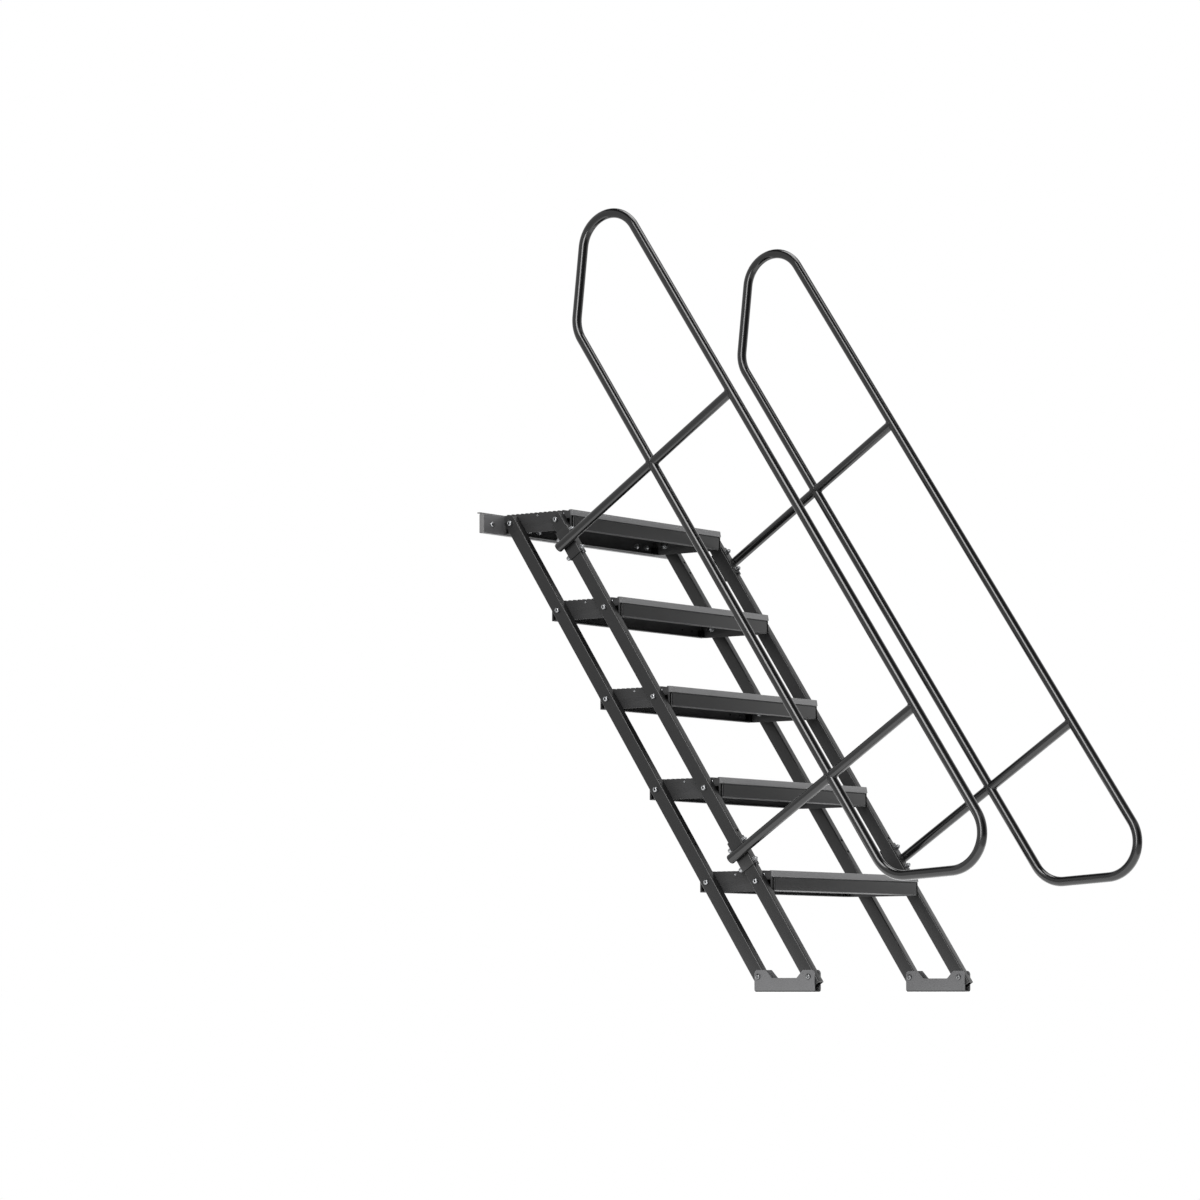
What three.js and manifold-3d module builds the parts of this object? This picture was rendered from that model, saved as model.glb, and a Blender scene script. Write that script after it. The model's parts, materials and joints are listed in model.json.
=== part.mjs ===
import * as THREE from "three";
import { mergeVertices } from "three/addons/utils/BufferGeometryUtils.js";
import Module from "manifold-3d";

// Height-adjustable stage stairs, in millimetres.
// Five level treads hang between two pairs of parallel bars. Every tread and both feet
// pivot on a rear bar and on a front bar, so the treads stay level while the bars lean
// over and the stairs come down from their tallest setting. The model stands at that setting.
// X runs to the right as one climbs, Y towards the stage and Z up. The origin is the middle
// of the hook rail's back face, which lies against the edge of the stage.

const wasm = await Module();
wasm.setup();

// Stair layout
const treadCount = 5;
const pivotSpacing = 318.5;
const stairAngle = THREE.MathUtils.degToRad(56.5);
const pivotDepth = 168.5;
const footPivotHeight = 42;
const clearance = 0.3;
const overrun = 1;

// Tread: an extruded plank with a ribbed top, closed by a plate at each end
const treadWidth = 750;
const treadTop = 30.4;
const treadDrop = 28.2;
const rearReach = 42.5;
const nosingReach = 37.8;
const nosingHeight = 18;
const nosingSetback = 3;
const nosingFlat = 12;
const frontBand = 9;
const skin = 3;
const rearFlange = 4;
const rearLipReach = 12;
const rearLipThickness = 3;
const ribHeight = 2.5;
const ribWidth = 9;
const ribTopWidth = 6;
const ribPitch = 17;
const endPlate = 4;
const frontNotchWidth = 12;
const frontNotchTop = 4.5;
const rearNotchWidth = 10;
const rearNotchTop = -7;

// Bars: rectangular tubes, open at both ends
const barThickness = 25;
const barDepth = 40;
const barWall = 2;
const barCorner = 3;
const barGap = 2;
const barUpperEnd = 14;
const barLowerEnd = 30;

// Pivot bolts: button heads outside, shanks through the bar and the end plate
const pivotBoltDiameter = 10;
const pivotHeadDiameter = 16;
const pivotHeadHeight = 5;
const pivotHeadRim = 1.2;
const pivotBoltTail = 12;

// Feet: folded channels with a raised ear round each bar
const footRear = 12;
const footFront = 20.5;
const footEarHeight = 60.8;
const footBodyHeight = 38.6;
const footRearEar = 37.5;
const footFrontEar = 39;
const footShoulder = 21;
const footPlate = 3;
const footSideGap = 0.5;
const footEarRadius = 6;
const footSoleRadius = 4;

// Handrails: a closed loop of round tube on two posts, each post on a clamp saddle
const tubeDiameter = 28;
const bendRadius = 100;
const lowerRailHeight = 375;
const upperRailHeight = 706;
const lowerRailStart = 74.6;
const upperRailOverhang = 114.3;
const lowerRailPastTop = 410.3;
const upperRailPastTop = 805.5;
const lowerPostAboveTread = 92.5;
const upperPostBelowTread = 84.5;
const postTail = 8;
const weldSink = 0.7;

// Clamp saddles and the bolts that run through them and the front bar
const saddlePlate = 3;
const saddleBoltSpread = 33;
const saddleUpperMargin = 22.6;
const saddleLowerMargin = 15.5;
const saddleInnerMargin = 1;
const clampBoltDiameter = 8;
const clampHeadDiameter = 14;
const clampHeadHeight = 4.5;
const clampHeadRim = 1;
const clampBoltTail = 10;

// Hook rail: a box section behind the top tread, with a lip that lies over the stage's rim
const hookDepth = 16;
const hookHeight = 56;
const hookWall = 3;
const hookOverhang = 97;
const hookBelowPivots = 3;
const hookLipRise = 2.5;
const hookLipPlate = 3;
const hookLipReach = 10;
const capFlange = 2;
const capPlug = 10;
const capPlugWall = 2;
const stageBoltFromTread = 60;
const stageBoltDiameter = 8;
const stageHeadDiameter = 15;
const stageHeadHeight = 5;
const stageHeadRim = 1;
const stageBoltTail = 14;

// Facets of the round pieces
const tubeSides = 12;
const boltSides = 10;
const degreesPerBendStep = 14;
const cornerSteps = 2;
const domeSteps = 3;

// Places that follow from the sizes above
const rise = pivotSpacing * Math.sin(stairAngle);
const halfTread = treadWidth / 2;
const barInner = halfTread + barGap;
const barOuter = barInner + barThickness;
const barMiddle = (barInner + barOuter) / 2;
const topPivot = treadCount * pivotSpacing;
const topRearPivotY = -(hookDepth + clearance + rearReach);
const topPivotZ = hookBelowPivots;
const footPivotZ = topPivotZ - treadCount * rise;
const floorZ = footPivotZ - footPivotHeight;
const footRearPivotY = topRearPivotY - topPivot * Math.cos(stairAngle);
const frontFace = -(pivotDepth + nosingReach);
const tubeRadius = tubeDiameter / 2;
const handrailPlane = barOuter + clearance + saddlePlate + tubeRadius - weldSink;
const sides = [
  { name: "left", sign: -1 },
  { name: "right", sign: 1 },
];

// Finishes
const charcoal = new THREE.MeshStandardMaterial({ color: 0x3c3d3e, roughness: 0.5, metalness: 0.3 });
const treadGrey = new THREE.MeshStandardMaterial({ color: 0x464748, roughness: 0.55, metalness: 0.3 });
const glossCharcoal = new THREE.MeshStandardMaterial({ color: 0x333435, roughness: 0.3, metalness: 0.4 });
const footGrey = new THREE.MeshStandardMaterial({ color: 0x76777a, roughness: 0.5, metalness: 0.4 });
const railGrey = new THREE.MeshStandardMaterial({ color: 0x6a6b6d, roughness: 0.45, metalness: 0.5 });
const capGrey = new THREE.MeshStandardMaterial({ color: 0x8a8b8c, roughness: 0.6, metalness: 0 });
const zinc = new THREE.MeshStandardMaterial({ color: 0xb4b6b8, roughness: 0.3, metalness: 1 });

const stairs = new THREE.Group();

// Turns a closed geometry into a solid that can be joined and cut.
function solidOf(geometry) {
  const bare = geometry.clone();
  bare.deleteAttribute("normal");
  bare.deleteAttribute("uv");
  const merged = mergeVertices(bare);
  const vertProperties = new Float32Array(merged.attributes.position.array);
  const triVerts = new Uint32Array(merged.index.array);
  return new wasm.Manifold(new wasm.Mesh({ numProp: 3, vertProperties, triVerts }));
}

// Gives a solid's surface back as a geometry.
function geometryOf(solid) {
  const { vertProperties, triVerts } = solid.getMesh();
  const geometry = new THREE.BufferGeometry();
  geometry.setAttribute("position", new THREE.BufferAttribute(vertProperties, 3));
  geometry.setIndex(new THREE.BufferAttribute(triVerts, 1));
  geometry.computeVertexNormals();
  return geometry;
}

// Adds one named piece to a group.
function addPiece(group, name, geometry, material) {
  const piece = new THREE.Mesh(geometry, material);
  piece.name = name;
  group.add(piece);
  return piece;
}

// Points on the arc that rounds one corner of a plane outline.
function roundedCorner(before, corner, after, radius, steps) {
  const back = before.clone().sub(corner).normalize();
  const ahead = after.clone().sub(corner).normalize();
  const halfAngle = Math.acos(back.dot(ahead)) / 2;
  const inward = back.clone().add(ahead).normalize();
  const centre = corner.clone().addScaledVector(inward, radius / Math.sin(halfAngle));
  const start = corner.clone().addScaledVector(back, radius / Math.tan(halfAngle)).sub(centre);
  const end = corner.clone().addScaledVector(ahead, radius / Math.tan(halfAngle)).sub(centre);
  const turn = Math.atan2(start.cross(end), start.dot(end));
  return Array.from({ length: steps + 1 }, (_, k) =>
    start.clone().rotateAround(new THREE.Vector2(), (turn * k) / steps).add(centre));
}

// An outline from corners given as [across, up, radius], where a corner without a radius is sharp.
function outline(corners) {
  const places = corners.map(([across, up]) => new THREE.Vector2(across, up));
  const points = corners.flatMap(([, , radius = 0], i) => {
    const before = places.at(i - 1);
    const after = places[(i + 1) % places.length];
    return radius > 0 ? roundedCorner(before, places[i], after, radius, cornerSteps) : [places[i]];
  });
  return new THREE.Shape(points);
}

// A rectangle's corners about a centre, for outline().
function rectangle(width, height, radius = 0) {
  return [
    [-width / 2, -height / 2, radius],
    [width / 2, -height / 2, radius],
    [width / 2, height / 2, radius],
    [-width / 2, height / 2, radius],
  ];
}

// An outline drawn in Y and Z, extruded along X between two places.
function extrudeAcross(shape, fromX, toX) {
  const geometry = new THREE.ExtrudeGeometry(shape, { depth: toX - fromX, bevelEnabled: false });
  const toYZ = new THREE.Matrix4().makeBasis(
    new THREE.Vector3(0, 1, 0),
    new THREE.Vector3(0, 0, 1),
    new THREE.Vector3(1, 0, 0),
  );
  return geometry.applyMatrix4(toYZ).translate(fromX, 0, 0);
}

// An outline drawn in X and Z, extruded along Y between two places.
function extrudeAlong(shape, fromY, toY) {
  const geometry = new THREE.ExtrudeGeometry(shape, { depth: toY - fromY, bevelEnabled: false });
  return geometry.rotateX(Math.PI / 2).translate(0, toY, 0);
}

// A round cutter or bar along X, centred on a place.
function rodAcross(diameter, length, x, y, z, facets = boltSides) {
  const geometry = new THREE.CylinderGeometry(diameter / 2, diameter / 2, length, facets);
  return geometry.rotateZ(Math.PI / 2).translate(x, y, z);
}

// A round cutter or bar along Z, centred on a place.
function rodUp(diameter, length, x, y, z, facets = boltSides) {
  const geometry = new THREE.CylinderGeometry(diameter / 2, diameter / 2, length, facets);
  return geometry.rotateX(Math.PI / 2).translate(x, y, z);
}

// A button-head bolt along Y: the head's underside is at zero, the shank runs down from it.
function buttonBolt(shankDiameter, shankLength, headDiameter, headHeight, rim) {
  const profile = [new THREE.Vector2(0, -shankLength)];
  profile.push(new THREE.Vector2(shankDiameter / 2, -shankLength));
  profile.push(new THREE.Vector2(shankDiameter / 2, 0));
  profile.push(new THREE.Vector2(headDiameter / 2, 0));
  for (let k = 0; k < domeSteps; k++) {
    const angle = ((Math.PI / 2) * k) / domeSteps;
    const radius = (headDiameter / 2) * Math.cos(angle);
    profile.push(new THREE.Vector2(radius, rim + (headHeight - rim) * Math.sin(angle)));
  }
  profile.push(new THREE.Vector2(0, headHeight));
  return new THREE.LatheGeometry(profile, boltSides);
}

// Treads

// The plank's section: ribs on top, a deep band at the front, a flange and a lip at the rear.
function plankSection() {
  const skinTop = treadTop - ribHeight;
  const skinBottom = skinTop - skin;
  const corners = [[rearReach, -treadDrop], [rearReach, skinTop]];
  const ribsEnd = frontFace + nosingSetback + nosingFlat + ribWidth;
  for (let rear = rearReach - ribWidth / 2; rear - ribWidth > ribsEnd; rear -= ribPitch) {
    const slope = (ribWidth - ribTopWidth) / 2;
    corners.push([rear, skinTop], [rear - slope, treadTop]);
    corners.push([rear - slope - ribTopWidth, treadTop], [rear - ribWidth, skinTop]);
  }
  corners.push([frontFace + nosingSetback + nosingFlat, skinTop]);
  corners.push([frontFace + nosingSetback + nosingFlat - ribHeight, treadTop]);
  corners.push([frontFace + nosingSetback, treadTop], [frontFace, treadTop - nosingHeight]);
  corners.push([frontFace, -treadDrop], [frontFace + frontBand, -treadDrop]);
  corners.push([frontFace + frontBand, skinBottom], [rearReach - rearFlange, skinBottom]);
  corners.push([rearReach - rearFlange, rearLipThickness - treadDrop]);
  corners.push([rearReach - rearFlange - rearLipReach, rearLipThickness - treadDrop]);
  corners.push([rearReach - rearFlange - rearLipReach, -treadDrop]);
  return outline(corners);
}

// An end plate's outline, with a slot behind the front band and one ahead of the rear flange.
function endPlateOutline() {
  const top = treadTop - ribHeight - clearance;
  const frontLeg = frontFace + frontBand;
  const rearLeg = rearReach - rearFlange;
  return outline([
    [rearReach, -treadDrop],
    [rearReach, top],
    [frontFace + nosingSetback, top],
    [frontFace, treadTop - nosingHeight],
    [frontFace, -treadDrop],
    [frontLeg, -treadDrop],
    [frontLeg, frontNotchTop],
    [frontLeg + frontNotchWidth, frontNotchTop],
    [frontLeg + frontNotchWidth, -treadDrop],
    [rearLeg - rearNotchWidth, -treadDrop],
    [rearLeg - rearNotchWidth, rearNotchTop],
    [rearLeg, rearNotchTop],
    [rearLeg, -treadDrop],
  ]);
}

function endPlateGeometry(sign) {
  const middle = sign * (halfTread - endPlate / 2);
  let plate = solidOf(extrudeAcross(endPlateOutline(), middle - endPlate / 2, middle + endPlate / 2));
  for (const y of [0, -pivotDepth]) {
    const holeDiameter = pivotBoltDiameter + 2 * clearance;
    plate = plate.subtract(solidOf(rodAcross(holeDiameter, endPlate + 2 * overrun, middle, y, 0)));
  }
  return geometryOf(plate);
}

const plankHalf = halfTread - endPlate - clearance;
const plankGeometry = extrudeAcross(plankSection(), -plankHalf, plankHalf);
for (let number = 1; number <= treadCount; number++) {
  const tread = new THREE.Group();
  const along = number * pivotSpacing;
  tread.position.set(0, footRearPivotY + along * Math.cos(stairAngle), footPivotZ + number * rise);
  addPiece(tread, `tread_${number}`, plankGeometry, treadGrey);
  for (const { name, sign } of sides) {
    addPiece(tread, `tread_${number}_${name}_end_plate`, endPlateGeometry(sign), treadGrey);
  }
  stairs.add(tread);
}

// Bars. In the groups below, Y runs up along the bars and Z square to them, out to the front.

function barGroup(pivotOffset) {
  const group = new THREE.Group();
  group.position.set(0, footRearPivotY + pivotOffset, footPivotZ);
  group.rotation.x = stairAngle;
  stairs.add(group);
  return group;
}

const rearBars = barGroup(0);
const frontBars = barGroup(-pivotDepth);
const lowerPost = pivotSpacing + lowerPostAboveTread;
const upperPost = topPivot - upperPostBelowTread;
const clampBoltPlaces = [lowerPost, upperPost].map((post) => [post - saddleBoltSpread, post + saddleBoltSpread]);

// A bar's tube with a hole for each pivot bolt and, on a front bar, for each clamp bolt.
function barGeometry(sign, clampPlaces) {
  const section = outline(rectangle(barThickness, barDepth, barCorner));
  const bore = outline(rectangle(barThickness - 2 * barWall, barDepth - 2 * barWall, barCorner - barWall));
  section.holes.push(bore);
  const tube = extrudeAlong(section, -barLowerEnd, topPivot + barUpperEnd);
  let bar = solidOf(tube.translate(sign * barMiddle, 0, 0));
  for (let number = 0; number <= treadCount; number++) {
    const hole = pivotBoltDiameter + 2 * clearance;
    const cutter = rodAcross(hole, barThickness + 2 * overrun, sign * barMiddle, number * pivotSpacing, 0);
    bar = bar.subtract(solidOf(cutter));
  }
  for (const place of clampPlaces) {
    const hole = clampBoltDiameter + 2 * clearance;
    bar = bar.subtract(solidOf(rodUp(hole, barDepth + 2 * overrun, sign * barMiddle, place, 0)));
  }
  return geometryOf(bar);
}

for (const { name, sign } of sides) {
  addPiece(rearBars, `${name}_rear_bar`, barGeometry(sign, []), charcoal);
  addPiece(frontBars, `${name}_front_bar`, barGeometry(sign, clampBoltPlaces.flat()), charcoal);
}

// Pivot bolts

const footInner = barInner - footSideGap;
const footOuter = barOuter + footSideGap;

// One pivot bolt, from outside the outer face through to past the inner one.
function addPivotBolt(group, name, sign, place, outerFace, innerFace) {
  const headFace = outerFace + clearance;
  const length = headFace - innerFace + pivotBoltTail;
  const shape = buttonBolt(pivotBoltDiameter, length, pivotHeadDiameter, pivotHeadHeight, pivotHeadRim);
  const bolt = addPiece(group, name, shape, zinc);
  bolt.position.set(sign * headFace, place, 0);
  bolt.rotation.z = (-sign * Math.PI) / 2;
}

for (const { name, sign } of sides) {
  for (const [place, group] of [["rear", rearBars], ["front", frontBars]]) {
    const footName = `${name}_foot_${place}_pivot_bolt`;
    addPivotBolt(group, footName, sign, 0, footOuter + footPlate, footInner - footPlate);
    for (let number = 1; number <= treadCount; number++) {
      const treadName = `tread_${number}_${name}_${place}_pivot_bolt`;
      addPivotBolt(group, treadName, sign, number * pivotSpacing, barOuter, halfTread - endPlate);
    }
  }
}

// Feet

function footGeometry(sign) {
  const rear = footRear;
  const front = -(pivotDepth + footFront);
  const side = outline([
    [rear, 0, footSoleRadius],
    [rear, footEarHeight, footEarRadius],
    [rear - footRearEar, footEarHeight],
    [rear - footRearEar - footShoulder, footBodyHeight],
    [front + footFrontEar + footShoulder, footBodyHeight],
    [front + footFrontEar, footEarHeight],
    [front, footEarHeight, footEarRadius],
    [front, 0, footSoleRadius],
  ]);
  const block = extrudeAcross(side, footInner - footPlate, footOuter + footPlate);
  const channel = extrudeAcross(
    outline([
      [rear + overrun, footPlate],
      [rear + overrun, footEarHeight + overrun],
      [front - overrun, footEarHeight + overrun],
      [front - overrun, footPlate],
    ]),
    footInner,
    footOuter,
  );
  let foot = solidOf(block).subtract(solidOf(channel));
  for (const y of [0, -pivotDepth]) {
    const length = barThickness + 2 * (footSideGap + footPlate + overrun);
    const hole = rodAcross(pivotBoltDiameter + 2 * clearance, length, barMiddle, y, footPivotHeight);
    foot = foot.subtract(solidOf(hole));
  }
  const geometry = geometryOf(foot);
  return sign > 0 ? geometry : geometry.translate(-2 * barMiddle, 0, 0);
}

for (const { name, sign } of sides) {
  const foot = addPiece(stairs, `${name}_foot`, footGeometry(sign), footGrey);
  foot.position.set(0, footRearPivotY, floorZ);
}

// Handrails

// The loop's centre line, from its lower front corner round by the upper rail.
const loopCorners = [
  [lowerRailStart, lowerRailHeight],
  [-upperRailOverhang, upperRailHeight],
  [topPivot + upperRailPastTop, upperRailHeight],
  [topPivot + lowerRailPastTop, lowerRailHeight],
].map(([along, out]) => new THREE.Vector2(along, out));

// A closed tube: one ring of points at each station of the loop, square to the way it runs.
function loopGeometry(plane) {
  const stations = loopCorners.flatMap((corner, i) => {
    const before = loopCorners.at(i - 1);
    const after = loopCorners[(i + 1) % loopCorners.length];
    const turn = Math.PI - Math.acos(
      before.clone().sub(corner).normalize().dot(after.clone().sub(corner).normalize()),
    );
    const steps = Math.round(THREE.MathUtils.radToDeg(turn) / degreesPerBendStep);
    const arc = roundedCorner(before, corner, after, bendRadius, steps);
    const heading = corner.clone().sub(before).angle();
    return arc.map((place, k) => ({ place, heading: heading - (turn * k) / steps }));
  });
  const positions = stations.flatMap(({ place, heading }) =>
    Array.from({ length: tubeSides }, (_, j) => {
      const round = (2 * Math.PI * j) / tubeSides;
      const outward = tubeRadius * Math.cos(round);
      const x = plane + tubeRadius * Math.sin(round);
      return [x, place.x - outward * Math.sin(heading), place.y + outward * Math.cos(heading)];
    }).flat());
  const index = stations.flatMap((_, i) =>
    Array.from({ length: tubeSides }, (__, j) => {
      const next = ((i + 1) % stations.length) * tubeSides;
      const here = i * tubeSides;
      const after = (j + 1) % tubeSides;
      return [here + j, here + after, next + j, next + j, here + after, next + after];
    }).flat());
  const geometry = new THREE.BufferGeometry();
  geometry.setAttribute("position", new THREE.Float32BufferAttribute(positions, 3));
  geometry.setIndex(index);
  return geometry;
}

// A clamp saddle: a plate folded round the outside, the front and the rear of a front bar.
function saddleSolid(sign, post, boltPlaces) {
  const inside = barDepth / 2 + clearance;
  const outside = inside + saddlePlate;
  const web = barOuter + clearance;
  const rim = barInner + saddleInnerMargin;
  const section = outline([
    [sign * rim, -outside],
    [sign * (web + saddlePlate), -outside],
    [sign * (web + saddlePlate), outside],
    [sign * rim, outside],
    [sign * rim, inside],
    [sign * web, inside],
    [sign * web, -inside],
    [sign * rim, -inside],
  ]);
  const from = post - saddleBoltSpread - saddleLowerMargin;
  const to = post + saddleBoltSpread + saddleUpperMargin;
  let saddle = solidOf(extrudeAlong(section, from, to));
  for (const place of boltPlaces) {
    const hole = clampBoltDiameter + 2 * clearance;
    saddle = saddle.subtract(solidOf(rodUp(hole, 2 * (outside + overrun), sign * barMiddle, place, 0)));
  }
  return saddle;
}

// One welded handrail: the loop, two posts that cross its lower rail, and a saddle on each post.
function handrailGeometry(sign) {
  const plane = sign * handrailPlane;
  const bottom = -(barDepth / 2 + postTail);
  let rail = solidOf(loopGeometry(plane));
  for (const [i, post] of [lowerPost, upperPost].entries()) {
    const length = upperRailHeight - bottom;
    const tube = rodUp(tubeDiameter, length, plane, post, bottom + length / 2, tubeSides);
    rail = rail.add(solidOf(tube)).add(saddleSolid(sign, post, clampBoltPlaces[i]));
  }
  return geometryOf(rail);
}

// A clamp bolt: its head behind the bar, its shank out through the front of the saddle.
function addClampBolt(name, sign, place) {
  const face = barDepth / 2 + clearance + saddlePlate + clearance;
  const length = 2 * face + clampBoltTail;
  const shape = buttonBolt(clampBoltDiameter, length, clampHeadDiameter, clampHeadHeight, clampHeadRim);
  const bolt = addPiece(frontBars, name, shape, zinc);
  bolt.position.set(sign * barMiddle, place, -face);
  bolt.rotation.x = -Math.PI / 2;
}

for (const { name, sign } of sides) {
  addPiece(frontBars, `${name}_handrail`, handrailGeometry(sign), glossCharcoal);
  for (const [i, post] of ["lower", "upper"].entries()) {
    addClampBolt(`${name}_${post}_clamp_bottom_bolt`, sign, clampBoltPlaces[i][0]);
    addClampBolt(`${name}_${post}_clamp_top_bolt`, sign, clampBoltPlaces[i][1]);
  }
}

// Hook rail, its end caps and the bolts that hold it to the stage

const hookEnd = halfTread + hookOverhang;
const stageBoltX = halfTread + stageBoltFromTread;

function hookRailGeometry() {
  const half = hookHeight / 2;
  const lipBottom = half + hookLipRise;
  const section = outline([
    [-hookDepth, -half],
    [0, -half],
    [0, lipBottom],
    [hookLipReach, lipBottom],
    [hookLipReach, lipBottom + hookLipPlate],
    [-hookWall, lipBottom + hookLipPlate],
    [-hookWall, half],
    [-hookDepth, half],
  ]);
  section.holes.push(outline([
    [-hookDepth + hookWall, -half + hookWall],
    [-hookWall, -half + hookWall],
    [-hookWall, half - hookWall],
    [-hookDepth + hookWall, half - hookWall],
  ]));
  let rail = solidOf(extrudeAcross(section, -hookEnd, hookEnd));
  for (const { sign } of sides) {
    const hole = new THREE.CylinderGeometry(
      stageBoltDiameter / 2 + clearance,
      stageBoltDiameter / 2 + clearance,
      hookDepth + 2 * overrun,
      boltSides,
    );
    rail = rail.subtract(solidOf(hole.translate(sign * stageBoltX, -hookDepth / 2, 0)));
  }
  return geometryOf(rail);
}

// A cap's outer plate covers the rail's end, and its hollow plug sits in the bore.
function railCapGeometry(sign) {
  const start = sign * (hookEnd + clearance);
  const plate = extrudeAcross(
    outline([
      [-hookDepth, -hookHeight / 2],
      [0, -hookHeight / 2],
      [0, hookHeight / 2],
      [-hookDepth, hookHeight / 2],
    ]),
    Math.min(start, start + sign * capFlange),
    Math.max(start, start + sign * capFlange),
  );
  const plugWidth = hookDepth - 2 * (hookWall + clearance);
  const plugHeight = hookHeight - 2 * (hookWall + clearance);
  const ring = outline(rectangle(plugWidth, plugHeight));
  ring.holes.push(outline(rectangle(plugWidth - 2 * capPlugWall, plugHeight - 2 * capPlugWall)));
  const plugEnd = start - sign * capPlug;
  const plugStart = start + sign * capFlange / 2;
  const plug = extrudeAcross(ring, Math.min(plugStart, plugEnd), Math.max(plugStart, plugEnd));
  return geometryOf(solidOf(plate).add(solidOf(plug.translate(0, -hookDepth / 2, 0))));
}

addPiece(stairs, "stage_hook_rail", hookRailGeometry(), railGrey);
for (const { name, sign } of sides) {
  addPiece(stairs, `${name}_rail_cap`, railCapGeometry(sign), capGrey);
  const length = hookDepth + clearance + stageBoltTail;
  const shape = buttonBolt(stageBoltDiameter, length, stageHeadDiameter, stageHeadHeight, stageHeadRim);
  const bolt = addPiece(stairs, `${name}_stage_bolt`, shape, zinc);
  bolt.position.set(sign * stageBoltX, -(hookDepth + clearance), 0);
  bolt.rotation.x = Math.PI;
}

export default stairs;
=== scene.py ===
"""Height-adjustable stage stairs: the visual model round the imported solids.

Lengths are written in millimetres and become metres where a mesh is made; the camera, the lamps
and the floor are in metres. Each surface is a function of two parameters on a grid, or a profile
carried along a path, worked out with numpy. A corner of an outline is (a, b, radius).
A place on the bars is (x, along, out): along runs up the bars from the foot pivot, out is square
to them, towards the climber. A place on a tread is (x, y, z) from its rear pivot's height.
"""

import json
import math

import bmesh
import bpy
import numpy as np
from mathutils import Matrix, Vector


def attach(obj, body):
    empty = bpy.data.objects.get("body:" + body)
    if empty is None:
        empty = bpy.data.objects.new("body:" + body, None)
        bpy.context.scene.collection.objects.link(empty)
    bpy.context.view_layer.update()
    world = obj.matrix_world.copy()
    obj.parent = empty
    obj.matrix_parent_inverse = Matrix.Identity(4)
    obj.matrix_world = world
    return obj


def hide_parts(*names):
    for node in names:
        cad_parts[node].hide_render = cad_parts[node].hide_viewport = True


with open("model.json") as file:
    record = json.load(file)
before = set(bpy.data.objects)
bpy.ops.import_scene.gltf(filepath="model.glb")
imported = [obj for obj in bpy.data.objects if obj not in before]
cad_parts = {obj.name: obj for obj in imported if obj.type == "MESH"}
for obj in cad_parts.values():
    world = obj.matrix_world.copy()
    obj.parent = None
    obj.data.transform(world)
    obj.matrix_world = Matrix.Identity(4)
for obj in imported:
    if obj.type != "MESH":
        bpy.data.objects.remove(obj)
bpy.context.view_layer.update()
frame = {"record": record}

MM = 0.001

# Stair layout, the same values as the solids have, but for the nosing's reach, which is 37.8 there
TREADS = 5
PIVOT_SPACING = 318.5
STAIR_ANGLE = math.radians(56.5)
PIVOT_DEPTH = 168.5
FOOT_PIVOT_HEIGHT = 42.0
CLEARANCE = 0.3
TREAD_HALF = 375.0
TREAD_TOP = 30.4
TREAD_DROP = 28.2
REAR_REACH = 42.5
NOSING_REACH = 40.2
NOSING_HEIGHT = 18.0
NOSING_SETBACK = 3.0
NOSING_FLAT = 12.0
NOSING_BLOCK = 9.0
SKIN = 3.0
REAR_FLANGE = 4.0
REAR_LIP_REACH = 12.0
REAR_LIP = 3.0
RIB_HEIGHT = 2.5
RIB_WIDTH = 9.0
RIB_TOP_WIDTH = 6.0
RIB_PITCH = 17.0
END_PLATE = 4.0
BAR_THICKNESS = 25.0
BAR_DEPTH = 40.0
BAR_WALL = 2.0
BAR_CORNER = 3.0
BAR_GAP = 2.0
BAR_UPPER_END = 14.0
BAR_LOWER_END = 30.0
TUBE_RADIUS = 14.0
BEND_RADIUS = 100.0
LOWER_RAIL = 375.0
UPPER_RAIL = 706.0
SADDLE_PLATE = 3.0
SADDLE_BOLT_SPREAD = 33.0
HOOK_DEPTH = 16.0
HOOK_HEIGHT = 56.0
HOOK_END = TREAD_HALF + 97.0

COS, SIN = math.cos(STAIR_ANGLE), math.sin(STAIR_ANGLE)
TOP_PIVOT = TREADS * PIVOT_SPACING
TOP_REAR_Y = -(HOOK_DEPTH + CLEARANCE + REAR_REACH)
TOP_REAR_Z = 3.0
FOOT_REAR_Y = TOP_REAR_Y - TOP_PIVOT * COS
FOOT_REAR_Z = TOP_REAR_Z - TOP_PIVOT * SIN
FLOOR_Z = FOOT_REAR_Z - FOOT_PIVOT_HEIGHT
FRONT_FACE = -(PIVOT_DEPTH + NOSING_REACH)
BAR_INNER = TREAD_HALF + BAR_GAP
BAR_OUTER = BAR_INNER + BAR_THICKNESS
BAR_MIDDLE = (BAR_INNER + BAR_OUTER) / 2
WELD_SINK = 0.7
RAIL_PLANE = BAR_OUTER + CLEARANCE + SADDLE_PLATE + TUBE_RADIUS - WELD_SINK
LOWER_POST = PIVOT_SPACING + 92.5
UPPER_POST = TOP_PIVOT - 84.5
POST_END = -(BAR_DEPTH / 2 + 10.5)
SIDES = (("left", -1), ("right", 1))


# Camera, floor and light

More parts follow.
